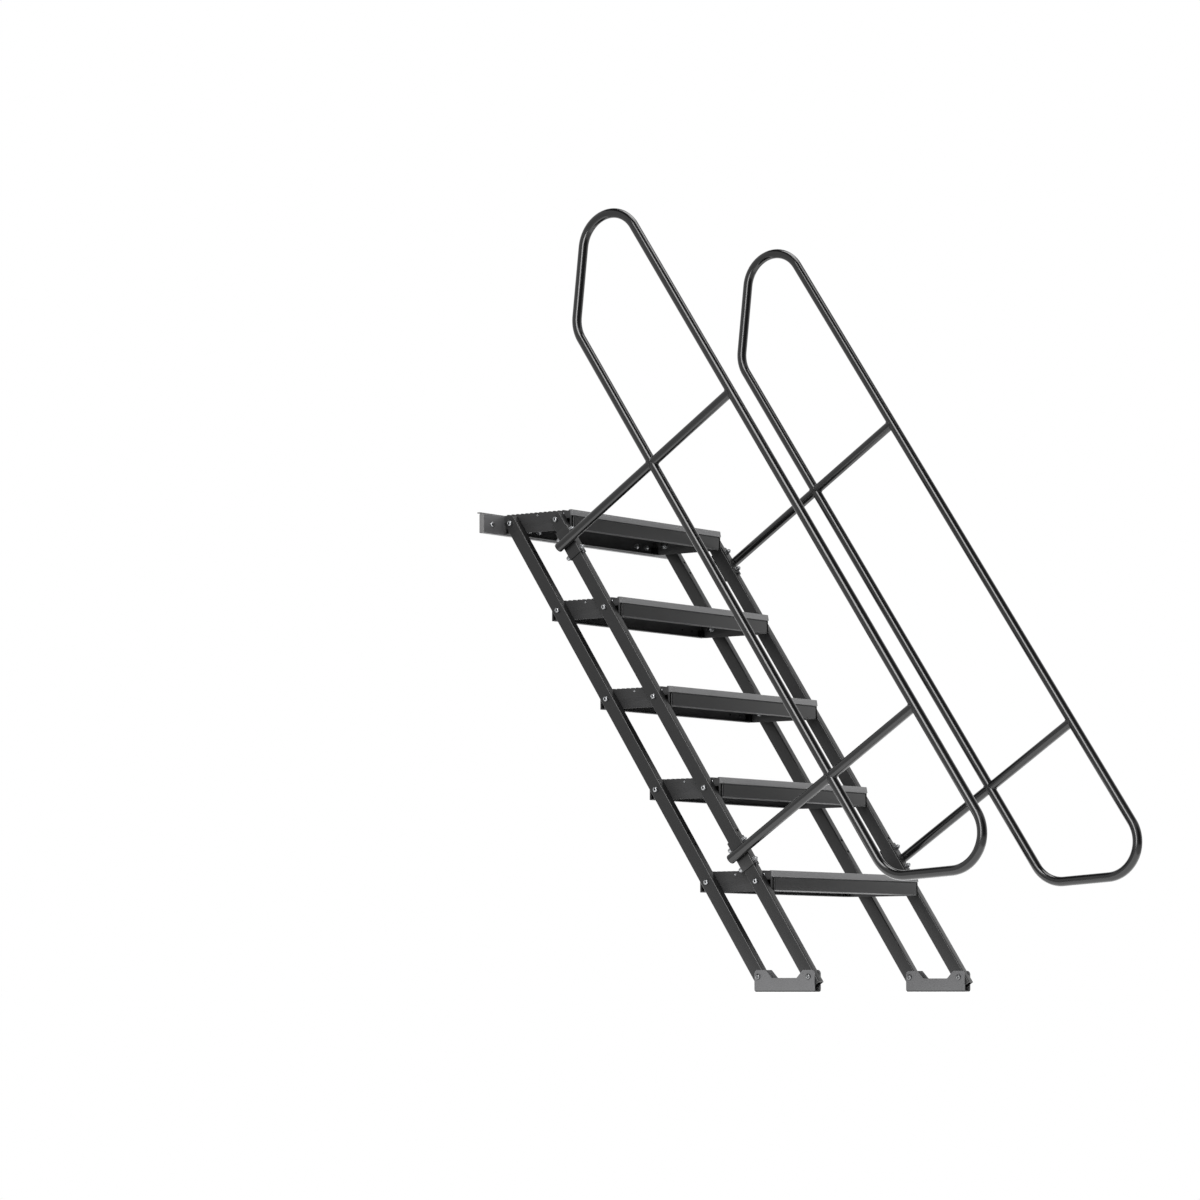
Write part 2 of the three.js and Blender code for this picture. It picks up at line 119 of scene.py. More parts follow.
CAMERA_PLACE = (-9.9488, -7.5471, -1.3622)
CAMERA_YAW, CAMERA_PITCH, CAMERA_ROLL = 53.1323, 5.3641, -0.042
CAMERA_LENS, CAMERA_SENSOR, CAMERA_REACH = 124.716, 36.0, 200.0
CEILING_START, CEILING_FULL, CEILING_LIGHT = 40.0, 50.0, 0.05
FLAG_AZIMUTH, FLAG_INNER, FLAG_OUTER, FLAG_LIGHT = 262.0, 30.0, 44.0, 0.1
EVEN_FILL = 0.25
WHITE = (1.0, 1.0, 1.0, 1.0)
FLOOR_CENTRE = (0.0, -0.7)
FLOOR_RADIUS, FLOOR_RINGS, FLOOR_SPOKES, FLOOR_DROP = 5.2, 24, 96, 0.2
FLOOR_FADE_START, FLOOR_FADE_END = 1.9, 5.0
FLOOR_TONE, FLOOR_GLOW = 0.26, 0.76


def aim(position, target, roll_degrees=0.0):
    """A matrix at a position that looks along its own -Z towards the target, turned by the roll."""
    direction = (Vector(target) - Vector(position)).normalized()
    turn = direction.to_track_quat("-Z", "Y").to_matrix().to_4x4()
    return Matrix.Translation(position) @ turn @ Matrix.Rotation(math.radians(roll_degrees), 4, "Z")


def add_camera():
    """The photograph's viewpoint: a long lens 12.5 m away, just above the floor."""
    data = bpy.data.cameras.new("camera")
    data.sensor_width = CAMERA_SENSOR
    data.lens = CAMERA_LENS
    data.clip_end = CAMERA_REACH
    camera = bpy.data.objects.new("camera", data)
    bpy.context.scene.collection.objects.link(camera)
    yaw, pitch = math.radians(CAMERA_YAW), math.radians(CAMERA_PITCH)
    level = math.cos(pitch)
    direction = Vector((math.sin(yaw) * level, math.cos(yaw) * level, math.sin(pitch)))
    place = Vector(CAMERA_PLACE)
    camera.matrix_world = aim(place, place + direction, CAMERA_ROLL)
    bpy.context.scene.camera = camera


def add_node(tree, kind, settings=None, sockets=None):
    """A shader node with its own settings. Each socket holds a value, or is linked to the output
    that is given for it."""
    node = tree.nodes.new("ShaderNode" + kind)
    for name, value in (settings or {}).items():
        setattr(node, name, value)
    for name, value in (sockets or {}).items():
        if isinstance(value, bpy.types.NodeSocket):
            tree.links.new(value, node.inputs[name])
        else:
            node.inputs[name].default_value = value
    return node


def worked_out(tree, operation, first, second):
    """One sum of two numbers or outputs."""
    return add_node(tree, "Math", {"operation": operation}, {0: first, 1: second}).outputs[0]


def ranged(tree, value, low, high, curve="LINEAR", start=0.0, end=1.0):
    """The value, which runs from start to end, moved into the range from low to high."""
    sockets = {"Value": value, "From Min": start, "From Max": end, "To Min": low, "To Max": high}
    return add_node(tree, "MapRange", {"interpolation_type": curve}, sockets).outputs["Result"]


def seen_directly(tree):
    """1 for rays from the camera, from gloss and through glass, and 0 for the light that bounces."""
    path = add_node(tree, "LightPath").outputs
    either = worked_out(tree, "MAXIMUM", path["Is Camera Ray"], path["Is Glossy Ray"])
    return worked_out(tree, "MAXIMUM", either, path["Is Transmission Ray"])


def add_world():
    """A white surround with a dark ceiling above, a dark flag to one side and a dim, even fill. The
    height of a direction is the third coordinate of its unit vector, and its nearness to the flag
    is the cosine of the angle between them. The camera's own rays pass the flag."""
    world = bpy.data.worlds.new("studio")
    bpy.context.scene.world = world
    world.use_nodes = True
    tree = world.node_tree
    direction = add_node(tree, "TexCoord").outputs["Generated"]
    height = add_node(tree, "SeparateXYZ", sockets={0: direction}).outputs["Z"]
    start, full = [math.sin(math.radians(angle)) for angle in (CEILING_START, CEILING_FULL)]
    ceiling = ranged(tree, height, 1.0, CEILING_LIGHT, "SMOOTHSTEP", start, full)
    turn = math.radians(FLAG_AZIMUTH)
    flag_vector = (math.cos(turn), math.sin(turn), 0.0)
    product = add_node(tree, "VectorMath", {"operation": "DOT_PRODUCT"}, {0: direction, 1: flag_vector})
    rim, core = [math.cos(math.radians(angle)) for angle in (FLAG_OUTER, FLAG_INNER)]
    flag = ranged(tree, product.outputs["Value"], 1.0, FLAG_LIGHT, "SMOOTHSTEP", rim, core)
    from_camera = add_node(tree, "LightPath").outputs["Is Camera Ray"]
    past_flag = worked_out(tree, "MAXIMUM", from_camera, flag)
    surround = worked_out(tree, "MULTIPLY", ceiling, past_flag)
    background = tree.nodes["Background"]
    background.inputs["Color"].default_value = WHITE
    strength = ranged(tree, seen_directly(tree), EVEN_FILL, surround)
    tree.links.new(strength, background.inputs["Strength"])


def add_floor():
    """A pale round floor that fades to the white background at its rim and keeps the shadow."""
    level = (FLOOR_Z - FLOOR_DROP) * MM
    ring = np.linspace(0.0, 1.0, FLOOR_RINGS)[:, None] ** 1.5 * FLOOR_RADIUS
    turn = full_turn(FLOOR_SPOKES)
    x, y = FLOOR_CENTRE[0] + ring * np.cos(turn), FLOOR_CENTRE[1] + ring * np.sin(turn)
    points = np.stack([x, y, np.full(x.shape, level)], -1).reshape(-1, 3)
    mesh = bpy.data.meshes.new("floor")
    mesh.from_pydata(points.tolist(), [], grid_faces(FLOOR_RINGS, FLOOR_SPOKES, False, True))
    floor = bpy.data.objects.new("floor", mesh)
    bpy.context.scene.collection.objects.link(floor)
    material = bpy.data.materials.new("studio floor")
    material.use_nodes = True
    tree = material.node_tree
    tree.nodes.clear()
    place = add_node(tree, "TexCoord").outputs["Object"]
    centre = (*FLOOR_CENTRE, level)
    away = add_node(tree, "VectorMath", {"operation": "DISTANCE"}, {0: place, 1: centre}).outputs["Value"]
    fade = ranged(tree, away, 0.0, 1.0, "SMOOTHSTEP", FLOOR_FADE_START, FLOOR_FADE_END)
    glow = ranged(tree, fade, FLOOR_GLOW, 1.0)
    direct = worked_out(tree, "MULTIPLY", glow, seen_directly(tree))
    diffuse = add_node(tree, "BsdfDiffuse", sockets={"Color": ranged(tree, fade, FLOOR_TONE, 0.0)})
    emission = add_node(tree, "Emission", sockets={"Strength": direct})
    both = add_node(tree, "AddShader", sockets={0: diffuse.outputs[0], 1: emission.outputs[0]})
    add_node(tree, "OutputMaterial", sockets={"Surface": both.outputs[0]})
    mesh.materials.append(material)


def add_softbox(name, place, target, width, height, power, roll_degrees=0.0, mirrored_in_gloss=True):
    """A rectangular lamp that the camera doesn't see. It shows at most in reflections."""
    data = bpy.data.lights.new(name, "AREA")
    data.shape = "RECTANGLE"
    data.size = width
    data.size_y = height
    data.energy = power
    lamp = bpy.data.objects.new(name, data)
    lamp.matrix_world = aim(place, target, roll_degrees)
    lamp.visible_camera = False
    lamp.visible_glossy = mirrored_in_gloss
    bpy.context.scene.collection.objects.link(lamp)


def add_lamps():
    """A tall key on the left, a broad top light, a front fill, a panel on the right whose edge
    follows the stairs' slope, and a lit floor."""
    add_softbox("key", place=(-4.95, -2.05, 1.8), target=(0.0, -0.9, 0.3), width=2.1, height=6.2,
                power=450.0)
    add_softbox("top", place=(1.0, -1.2, 5.6), target=(0.0, -0.7, -0.3), width=4.0, height=4.0,
                power=300.0)
    add_softbox("fill", place=(2.6, -2.4, 1.6), target=(0.2, -0.7, -0.4), width=1.0, height=1.0,
                power=85.0, mirrored_in_gloss=False)
    add_softbox("right panel", place=(3.0, -1.73, -0.175), target=(0.0, -1.73, -0.175), width=1.5,
                height=1.6, power=5.4, roll_degrees=-33.5)
    level = (FLOOR_Z - FLOOR_DROP / 2) * MM
    add_softbox("floor glow", place=(*FLOOR_CENTRE, level), target=(*FLOOR_CENTRE, 1.0), width=3.4,
                height=3.4, power=50.0)


# Surfaces


def grid_faces(rows, columns, close_rows, close_columns):
    """The four-sided faces of a grid of points, row by row; a closed direction joins its ends."""
    r = np.arange(rows if close_rows else rows - 1)
    c = np.arange(columns if close_columns else columns - 1)
    r, c = np.meshgrid(r, c, indexing="ij")
    here, below = r * columns, (r + 1) % rows * columns
    after = (c + 1) % columns
    return np.stack([here + c, here + after, below + after, below + c], -1).reshape(-1, 4).tolist()


def full_turn(steps):
    """Equal steps of the angle once round, without the last, which is the first again."""
    return np.linspace(0.0, 2 * np.pi, steps, endpoint=False)


def unit(vectors):
    """Each vector divided by its length."""
    return vectors / np.linalg.norm(vectors, axis=-1, keepdims=True)


def rounded(corners, steps=4):
    """A closed outline. A corner with a radius becomes an arc that touches both its sides:
    centre = corner + inward * radius / sin(half the angle)."""
    points = []
    for i, (a, b, radius) in enumerate(corners):
        corner = np.array([a, b], float)
        if radius <= 0:
            points.append(corner[None])
            continue
        back = unit(np.array(corners[i - 1][:2]) - corner)
        ahead = unit(np.array(corners[(i + 1) % len(corners)][:2]) - corner)
        half = math.acos(np.clip(back @ ahead, -1, 1)) / 2
        centre = corner + unit(back + ahead) * radius / math.sin(half)
        start = corner + back * radius / math.tan(half) - centre
        end = corner + ahead * radius / math.tan(half) - centre
        turn = math.atan2(start[0] * end[1] - start[1] * end[0], start @ end)
        angle = np.linspace(0.0, turn, steps + 1)[:, None]
        points.append(centre + start * np.cos(angle) + np.array([-start[1], start[0]]) * np.sin(angle))
    return np.concatenate(points)


def inset(outline, depth):
    """The outline moved inwards by the depth, each point along the mean of its two sides' normals
    divided by one plus the cosine between them."""
    after = np.roll(outline, -1, 0)
    ahead = unit(after - outline)
    area = np.sum(outline[:, 0] * after[:, 1] - after[:, 0] * outline[:, 1])
    normal = np.stack([-ahead[:, 1], ahead[:, 0]], -1) * np.sign(area)
    before = np.roll(normal, 1, 0)
    return outline + depth * (before + normal) / (1 + np.sum(before * normal, 1, keepdims=True))


def ring_at(outline, station):
    """The outline's points at one station, as (station, first, second)."""
    return np.column_stack([np.full(len(outline), float(station)), outline])


def carried(outline, stations):
    """The outline at each station, as the rows of a grid."""
    return np.array([ring_at(outline, station) for station in stations])


def plate(outline, start, end, edge, edge_steps=2):
    """An outline carried from start to end, with both rims rounded over by a quarter circle."""
    angle = np.linspace(0.0, np.pi / 2, edge_steps + 1)
    depth = edge * (1 - np.sin(angle))
    along = edge * (1 - np.cos(angle))
    rings = [ring_at(inset(outline, d), start + a) for d, a in zip(depth, along)]
    rings += [ring_at(inset(outline, d), end - a) for d, a in zip(depth[::-1], along[::-1])]
    return closed_ends(np.array(rings))


def closed_ends(grid):
    """A tube of rings with one flat face over each end."""
    rows, columns = grid.shape[:2]
    faces = grid_faces(rows, columns, False, True)
    faces.append(list(range(columns))[::-1])
    faces.append(list(range((rows - 1) * columns, rows * columns)))
    return grid.reshape(-1, 3), faces


def ring_surface(grid):
    """A tube of rings that closes on itself both ways."""
    rows, columns = grid.shape[:2]
    return grid.reshape(-1, 3), grid_faces(rows, columns, True, True)


def turned(profile, steps, shape):
    """A profile of (radius, height) turned about the height's axis; shape changes its radii."""
    angle = full_turn(steps)
    radius, height = np.asarray(profile, float).T[:, :, None]
    if shape is not None:
        radius = shape(np.repeat(radius, steps, 1), height, angle)
    height = np.broadcast_to(height, (len(profile), steps))
    return np.stack([radius * np.cos(angle), radius * np.sin(angle), height], -1)


def lathed(profile, steps, shape=None, closed=False):
    """A turned profile as a surface. A closed profile is a ring's, with no end on the axis."""
    return turned(profile, steps, shape).reshape(-1, 3), grid_faces(len(profile), steps, closed, True)


def hexagon(across_flats, angle):
    """A hexagon's radius: half its width over the flats, divided by the cosine of the angle from
    the middle of the nearest flat."""
    return across_flats / 2 / np.cos(angle % (np.pi / 3) - np.pi / 6)


HEAD_STEPS, DOME_STEPS = 48, 9
SEAT_BEVEL = 0.3
SOCKET_MARGIN = 0.5
SOCKET_BEVEL, SOCKET_BEVEL_DEPTH, SOCKET_SINK = 0.4, 0.15, 0.5
SOCKET_FLOOR_SHARE, SOCKET_TIP_SHARE = 0.35, 0.2
THREAD_STEPS, THREAD_ROWS, THREAD_DEPTH_SHARE = 36, 7, 0.32
TIP_CHAMFER, TIP_CHAMFER_SHARE = 1.2, 0.8
NUT_LEVELS = (0.0, 0.35, 0.8, 1.4)
NUT_BORE_BEVEL, NUT_FACE_SHARE, NUT_CONE_SLOPE = 0.4, 0.47, 1.73
WASHER_STEPS, WASHER_BEVEL = 40, 0.3
BEAD_RIPPLE_SHARE = 0.12


def button_head(diameter, height, rim, socket):
    """A domed head on a flat seat, and its socket. The dome's height over the rim is a quarter
    ellipse of the radius. The socket is a chamfered hexagon with a coned floor."""
    radius = diameter / 2
    lip = socket / 2 / math.cos(math.pi / 6) + SOCKET_MARGIN
    across = np.linspace(radius, lip, DOME_STEPS)[1:]
    dome_height = rim + (height - rim) * np.sqrt(np.maximum(0.0, 1 - ((across - lip) / (radius - lip)) ** 2))
    profile = [(0.0, 0.0), (radius - SEAT_BEVEL, 0.0), (radius, SEAT_BEVEL), (radius, rim)]
    profile += list(zip(across, dome_height)) + [(lip - SOCKET_BEVEL, height - SOCKET_BEVEL_DEPTH)]
    edge = len(profile)
    profile += [(1.0, height - SOCKET_SINK), (1.0, height * SOCKET_FLOOR_SHARE)]
    profile.append((0.0, height * SOCKET_TIP_SHARE))

    def shape(radii, heights, angle):
        """The socket's two rows follow the hexagon."""
        radii[edge:edge + 2] = hexagon(socket, angle)
        return radii

    grid = turned(profile, HEAD_STEPS, shape)
    return [(part.reshape(-1, 3), grid_faces(len(part), HEAD_STEPS, False, True))
            for part in (grid[:edge + 1], grid[edge:])]


def threaded_end(diameter, length, pitch, top):
    """A bolt's tip: the radius falls by the thread's depth as a wave of height / pitch less one
    turn, so the groove climbs as a screw. The last pitch is chamfered."""
    low = top - length
    rows = max(6, int(length / pitch * THREAD_ROWS))
    profile = [(0.0, top)] + [(diameter / 2, height) for height in np.linspace(top, low, rows)] + [(0.0, low)]

    def shape(radii, heights, angle):
        """Thread depth by height and turn, with a chamfer that grows towards the tip."""
        wave = np.abs((heights / pitch - angle / (2 * np.pi)) % 1.0 - 0.5) * 2
        chamfer = np.clip(TIP_CHAMFER - (heights - low), 0.0, TIP_CHAMFER)
        cut = radii - THREAD_DEPTH_SHARE * pitch * wave - chamfer * TIP_CHAMFER_SHARE
        return np.where(radii > 0, cut, 0.0)

    return lathed(profile, THREAD_STEPS, shape)


def hex_nut(across_flats, height, bore):
    """A hexagon nut: at each height the radius is the hexagon's or a 30 degree cone's, whichever is
    less, round an open bore."""
    bore_edge = bore / 2 + NUT_BORE_BEVEL
    levels = [*NUT_LEVELS, *(height - level for level in reversed(NUT_LEVELS))]
    profile = [(bore / 2, NUT_BORE_BEVEL), (bore_edge, 0.0)] + [(across_flats, level) for level in levels]
    profile += [(bore_edge, height), (bore / 2, height - NUT_BORE_BEVEL)]

    def shape(radii, heights, angle):
        """The hexagon, cut by the cone at both ends."""
        cone = across_flats * NUT_FACE_SHARE + np.minimum(heights, height - heights) * NUT_CONE_SLOPE
        return np.where(radii == across_flats, np.minimum(hexagon(across_flats, angle), cone), radii)

    return lathed(profile, HEAD_STEPS, shape, closed=True)


def washer(outer, bore, thickness):
    """A flat ring with broken edges."""
    bevel = min(WASHER_BEVEL, thickness / 3)
    hole, rim = bore / 2, outer / 2
    profile = [
        (hole, bevel), (hole + bevel, 0.0), (rim - bevel, 0.0), (rim, bevel), (rim, thickness - bevel),
        (rim - bevel, thickness), (hole + bevel, thickness), (hole, thickness - bevel),
    ]
    return lathed(profile, WASHER_STEPS, closed=True)


def bead(path, radius, sides, ripples):
    """A weld bead round a closed path: circles square to the path, whose radius ripples."""
    ahead = unit(np.roll(path, -1, 0) - np.roll(path, 1, 0))
    out = path - path.mean(0)
    out = unit(out - np.sum(out * ahead, 1, keepdims=True) * ahead)
    side = np.cross(ahead, out)
    around = full_turn(sides)[:, None]
    along = full_turn(len(path))
    swell = radius * (1 + BEAD_RIPPLE_SHARE * np.sin(ripples * along))
    circles = np.cos(around) * out[:, None] + np.sin(around) * side[:, None]
    return ring_surface(path[:, None] + swell[:, None, None] * circles)


def placed(surface, axis, at, turn=0.0):
    """A surface made about +Z, moved so that its +Z points along the axis and its zero is at the
    place. Its +X keeps to the stairs' X, or to their Z where the axis is X."""
    points, faces = surface
    z = np.array(axis, float)
    x = np.array([0.0, 0.0, 1.0] if z[0] else [1.0, 0.0, 0.0])
    y = np.cross(z, x)
    x, y = x * math.cos(turn) + y * math.sin(turn), y * math.cos(turn) - x * math.sin(turn)
    return points @ np.array([x, y, z]) + np.array(at, float), faces


def on_front_bars(surface, axis, at, turn=0.0):
    """A surface placed by (x, along, out) on the front bars."""
    return from_bars(placed(surface, axis, at, turn), True)


def from_bars(surface, front):
    """Places given as (x, along, out) on the rear or front bars, turned into the stairs' own."""
    points, faces = surface
    x, along, out = points[:, 0], points[:, 1], points[:, 2]
    foot_y = FOOT_REAR_Y - (PIVOT_DEPTH if front else 0.0)
    y = foot_y + along * COS - out * SIN
    z = FOOT_REAR_Z + along * SIN + out * COS
    return np.stack([x, y, z], -1), faces


def moved(surface, x, y=0.0, z=0.0):
    """The surface shifted."""
    return surface[0] + np.array([x, y, z]), surface[1]


def mirrored(surface, sign):
    """The surface on the other side when the sign is negative."""
    return surface[0] * np.array([sign, 1.0, 1.0]), surface[1]


HOLE_STEPS, HOLE_REACH = 24, 8.0


def hole_circle(diameter):
    """A hole's circle as two rows of offsets. It starts at 45 degrees."""
    turn = full_turn(HOLE_STEPS) + np.pi / 4
    return np.cos(turn) * diameter / 2, np.sin(turn) * diameter / 2


def stations_past(holes, start, end):
    """Both ends of a run, and a station on each side of every hole, in order."""
    return sorted([start, end] + [hole + way * HOLE_REACH for hole in holes for way in (-1, 1)])


def widest_side(outline, axis, wall):
    """The number of the outline's longest side that lies on a wall square to the axis."""
    flat = np.abs(outline[:, axis] - wall) < 1e-6
    after = np.roll(outline, -1, 0)
    length = np.linalg.norm(after - outline, axis=1)
    return int(np.argmax(np.where(flat & np.roll(flat, -1), length, -1.0)))


def face_between(rows, side, columns):
    """The corner numbers of the face between two rings at one side of their outline."""
    after = (side + 1) % columns
    return [rows[0] * columns + side, rows[0] * columns + after,
            rows[1] * columns + after, rows[1] * columns + side]


def drilled(points, faces, quads, circles):
    """A round hole through two parallel walls. The face in each wall becomes four faces between
    its corners and a circle that starts at 45 degrees, and a bore joins the two circles."""
    quarter = HOLE_STEPS // 4
    rims = []
    for quad, circle in zip(quads, circles):
        middle = circle.mean(0)
        sides = np.sign((points[quad] - middle).round(3))
        wanted = np.sign((circle[::quarter] - middle).round(3))
        corners = [quad[int(np.argmax(sides @ way))] for way in wanted]
        rim = [len(points) + k for k in range(HOLE_STEPS)]
        faces = [face for face in faces if set(face) != set(quad)]
        for q in range(4):
            arc = [rim[(q * quarter + k) % HOLE_STEPS] for k in range(quarter + 1)]
            faces.append([corners[q], corners[(q + 1) % 4]] + arc[::-1])
        points = np.concatenate([points, circle])
        rims.append(rim)
    for k in range(HOLE_STEPS):
        after = (k + 1) % HOLE_STEPS
        faces.append([rims[0][k], rims[0][after], rims[1][after], rims[1][k]])
    return points, faces


SHARP_EDGE = math.radians(32.0)


def make_piece(name, parts, body, replaced=()):
    """One object from surfaces, each given with its material, or with several and a rule that
    numbers them by face centres. Doubles are merged and every face is turned outwards."""
    points, faces, numbers, materials = [], [], [], []
    offset = 0
    for (part_points, part_faces), material, *rule in parts:
        points.append(part_points)
        faces += [[i + offset for i in face] for face in part_faces]
        offset += len(part_points)
        choices = material if rule else [material]
        materials += [choice for choice in choices if choice not in materials]
        chosen = np.zeros(len(part_faces), int)
        if rule:
            chosen = rule[0](np.array([part_points[face].mean(0) for face in part_faces]))
        numbers += [materials.index(choices[k]) for k in chosen]
    mesh = bpy.data.meshes.new(name)
    mesh.from_pydata((np.concatenate(points) * MM).tolist(), [], faces)
    for material in materials:
        mesh.materials.append(material)
    mesh.polygons.foreach_set("material_index", numbers)
    work = bmesh.new()
    work.from_mesh(mesh)
    bmesh.ops.remove_doubles(work, verts=work.verts, dist=1e-6)
    bmesh.ops.recalc_face_normals(work, faces=work.faces)
    work.to_mesh(mesh)
    work.free()
    mesh.polygons.foreach_set("use_smooth", np.ones(len(mesh.polygons), bool))
    mesh.set_sharp_from_angle(angle=SHARP_EDGE)
    mesh.update()
    piece = bpy.data.objects.new(name, mesh)
    bpy.context.scene.collection.objects.link(piece)
    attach(piece, body)
    if replaced:
        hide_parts(*replaced)


# Finishes

CLOUD_DETAIL, CLOUD_RANGE, GRAIN_DETAIL = 4.0, (0.3, 0.7), 3.0


def finish(name, colour, roughness, tone, metallic=0.0, specular=0.5, tone_scale=14.0,
           grain_scale=1800.0, grain=0.05, grain_depth=0.00004, roughness_spread=0.04, stretch=(1, 1, 1)):
    """A coat or metal: a soft cloud varies the colour, and a fine grain, stretched along one axis
    where it is brushed, varies the gloss and gives the bump."""
    material = bpy.data.materials.new(name)
    material.use_nodes = True
    tree = material.node_tree
    place = add_node(tree, "TexCoord").outputs["Object"]
    sockets = {"Vector": place, "Scale": tone_scale, "Detail": CLOUD_DETAIL}
    cloud = add_node(tree, "TexNoise", sockets=sockets).outputs["Fac"]
    ramp = add_node(tree, "ValToRGB", sockets={"Fac": cloud})
    for element, position, share in zip(ramp.color_ramp.elements, CLOUD_RANGE, (1 - tone, 1 + tone)):
        element.position = position
        element.color = (*(channel * share for channel in colour), 1.0)
    along = add_node(tree, "Mapping", sockets={"Vector": place, "Scale": stretch}).outputs["Vector"]
    sockets = {"Vector": along, "Scale": grain_scale, "Detail": GRAIN_DETAIL}
    fine = add_node(tree, "TexNoise", sockets=sockets).outputs["Fac"]
    gloss = ranged(tree, fine, roughness - roughness_spread, roughness + roughness_spread)
    bump = add_node(tree, "Bump", sockets={"Strength": grain, "Distance": grain_depth, "Height": fine})
    shader = tree.nodes["Principled BSDF"]
    shader.inputs["Metallic"].default_value = metallic
    shader.inputs["Specular IOR Level"].default_value = specular
    tree.links.new(ramp.outputs["Color"], shader.inputs["Base Color"])
    tree.links.new(gloss, shader.inputs["Roughness"])
    tree.links.new(bump.outputs["Normal"], shader.inputs["Normal"])
    return material


BAR_COAT = finish("bar powder coat", (0.0045, 0.0045, 0.0047), 0.33, specular=0.39, tone=0.15)
TREAD_COAT = finish("tread powder coat", (0.005, 0.005, 0.0053), 0.36, specular=0.26, tone=0.15)
END_COAT = finish("end plate coat", (0.017, 0.017, 0.0174), 0.62, specular=0.27, tone=0.12)
# Painted shade: a copy of the tread coat whose colour sets how the shaded undersides, the apron's inside and
# its groove read.
UNDERSIDE_PAINTED_SHADING = finish("tread underside painted shading", (0.034, 0.034, 0.0349), 0.6, specular=0.25, tone=0.15)
# Painted highlight: a far lighter copy of the tread coat on the apron's bottom bend, standing for the floor's
# reflection there.
BEND_PAINTED_HIGHLIGHT = finish("apron bend, painted highlight", (0.085, 0.085, 0.087), 0.4, specular=0.5, tone=0.15)
RAIL_COAT = finish("handrail gloss coat", (0.004, 0.004, 0.0042), 0.16, specular=0.45, tone=0.1,
                   roughness_spread=0.02)
FOOT_COAT = finish("foot grey coat", (0.072, 0.072, 0.074), 0.42, specular=0.4, tone=0.06)
NOSING_GREY = finish("nosing strip", (0.061, 0.061, 0.063), 0.36, specular=1.0, tone=0.05,
                     stretch=(0.02, 1, 1))
GRIP_BLACK = finish("tread grip", (0.010, 0.010, 0.010), 0.75, specular=0.2, tone=0.2,
                    grain_scale=520.0, grain=0.4, grain_depth=0.0002)
HOOK_METAL = finish("hook rail metal", (0.145, 0.145, 0.148), 0.48, metallic=0.75, tone=0.06,
                    stretch=(0.03, 1, 1))
CAP_PLASTIC = finish("rail cap plastic", (0.12, 0.12, 0.12), 0.5, specular=0.35, tone=0.04)
BLACK_PLASTIC = finish("black plastic", (0.008, 0.008, 0.008), 0.6, specular=0.2, tone=0.1)
# Painted shade: a near-black finish in the slots' cups, the flange holes' caps and the end plates' front
# edges, standing for the shadow in these openings and gaps.
SLOT_PAINTED_SHADE = finish("slot painted shade", (0.002, 0.002, 0.002), 0.7, specular=0.05, tone=0.2)
ZINC = finish("zinc plated steel", (0.23, 0.234, 0.24), 0.28, metallic=1.0, tone=0.06, tone_scale=160.0)
FOOT_ZINC = finish("foot bolt zinc", (0.12, 0.122, 0.124), 0.2, metallic=1.0, tone=0.06, tone_scale=160.0)
# Painted highlight: a much brighter copy of the zinc on the joint nuts, standing for glints the dim surround
# there doesn't give.
JOINT_ZINC_PAINTED_GLINT = finish("joint nut zinc painted glint", (0.6, 0.61, 0.62), 0.3, metallic=1.0, tone=0.06, tone_scale=160.0)
# Painted shade: a near-black finish in the bolts' socket recesses and on the ring round each set screw,
# standing for their shadow.
SOCKET_PAINTED_SHADE = finish("bolt socket painted shade", (0.012, 0.012, 0.013), 0.5, specular=0.1, tone=0.2, tone_scale=300.0)


# Treads

SKIN_TOP = TREAD_TOP - RIB_HEIGHT
BLOCK_BOTTOM = TREAD_TOP - NOSING_HEIGHT
BLOCK_REAR = FRONT_FACE + NOSING_BLOCK
NOSING_TOP = FRONT_FACE + NOSING_SETBACK
NOSING_REAR = NOSING_TOP + NOSING_FLAT
STRIP_REAR = NOSING_REAR - RIB_HEIGHT
FLANGE = REAR_REACH - REAR_FLANGE
PLANK_END = TREAD_HALF - END_PLATE - CLEARANCE
SEAM = 0.1
HAIR = 0.2


def plank_outline():
    """The plank's section in (y, z): ribs with rounded edges, a sloped nosing, a rear flange with
    a lip, all from the sizes of the solids."""
    skin_bottom = SKIN_TOP - SKIN
    corners = [(REAR_REACH, -TREAD_DROP, 1.0), (REAR_REACH, SKIN_TOP, 1.2)]
    slope = (RIB_WIDTH - RIB_TOP_WIDTH) / 2
    rear = REAR_REACH - RIB_WIDTH / 2
    while rear - RIB_WIDTH > NOSING_REAR + RIB_WIDTH:
        corners += [(rear, SKIN_TOP, 0.5), (rear - slope, TREAD_TOP, 0.7)]
        corners += [(rear - slope - RIB_TOP_WIDTH, TREAD_TOP, 0.7), (rear - RIB_WIDTH, SKIN_TOP, 0.5)]
        rear -= RIB_PITCH
    lip_rear, lip_top = FLANGE - REAR_LIP_REACH, REAR_LIP - TREAD_DROP
    corners += [
        (NOSING_REAR, SKIN_TOP, 0.4), (STRIP_REAR, TREAD_TOP, 0.7), (NOSING_TOP, TREAD_TOP, 2.2),
        (FRONT_FACE, BLOCK_BOTTOM, 1.0), (BLOCK_REAR, BLOCK_BOTTOM, 0.5), (BLOCK_REAR, skin_bottom, 1.5),
        (FLANGE, skin_bottom, 1.5), (FLANGE, lip_top, 1.0), (lip_rear, lip_top, 0.6),
        (lip_rear, -TREAD_DROP, 0.6),
    ]
    return rounded(corners, 3)


FLANGE_HOLES = (108.0, 155.0, 647.0, 697.0)
FLANGE_HOLE_Z = -9.0
FLANGE_HOLE = 7.0


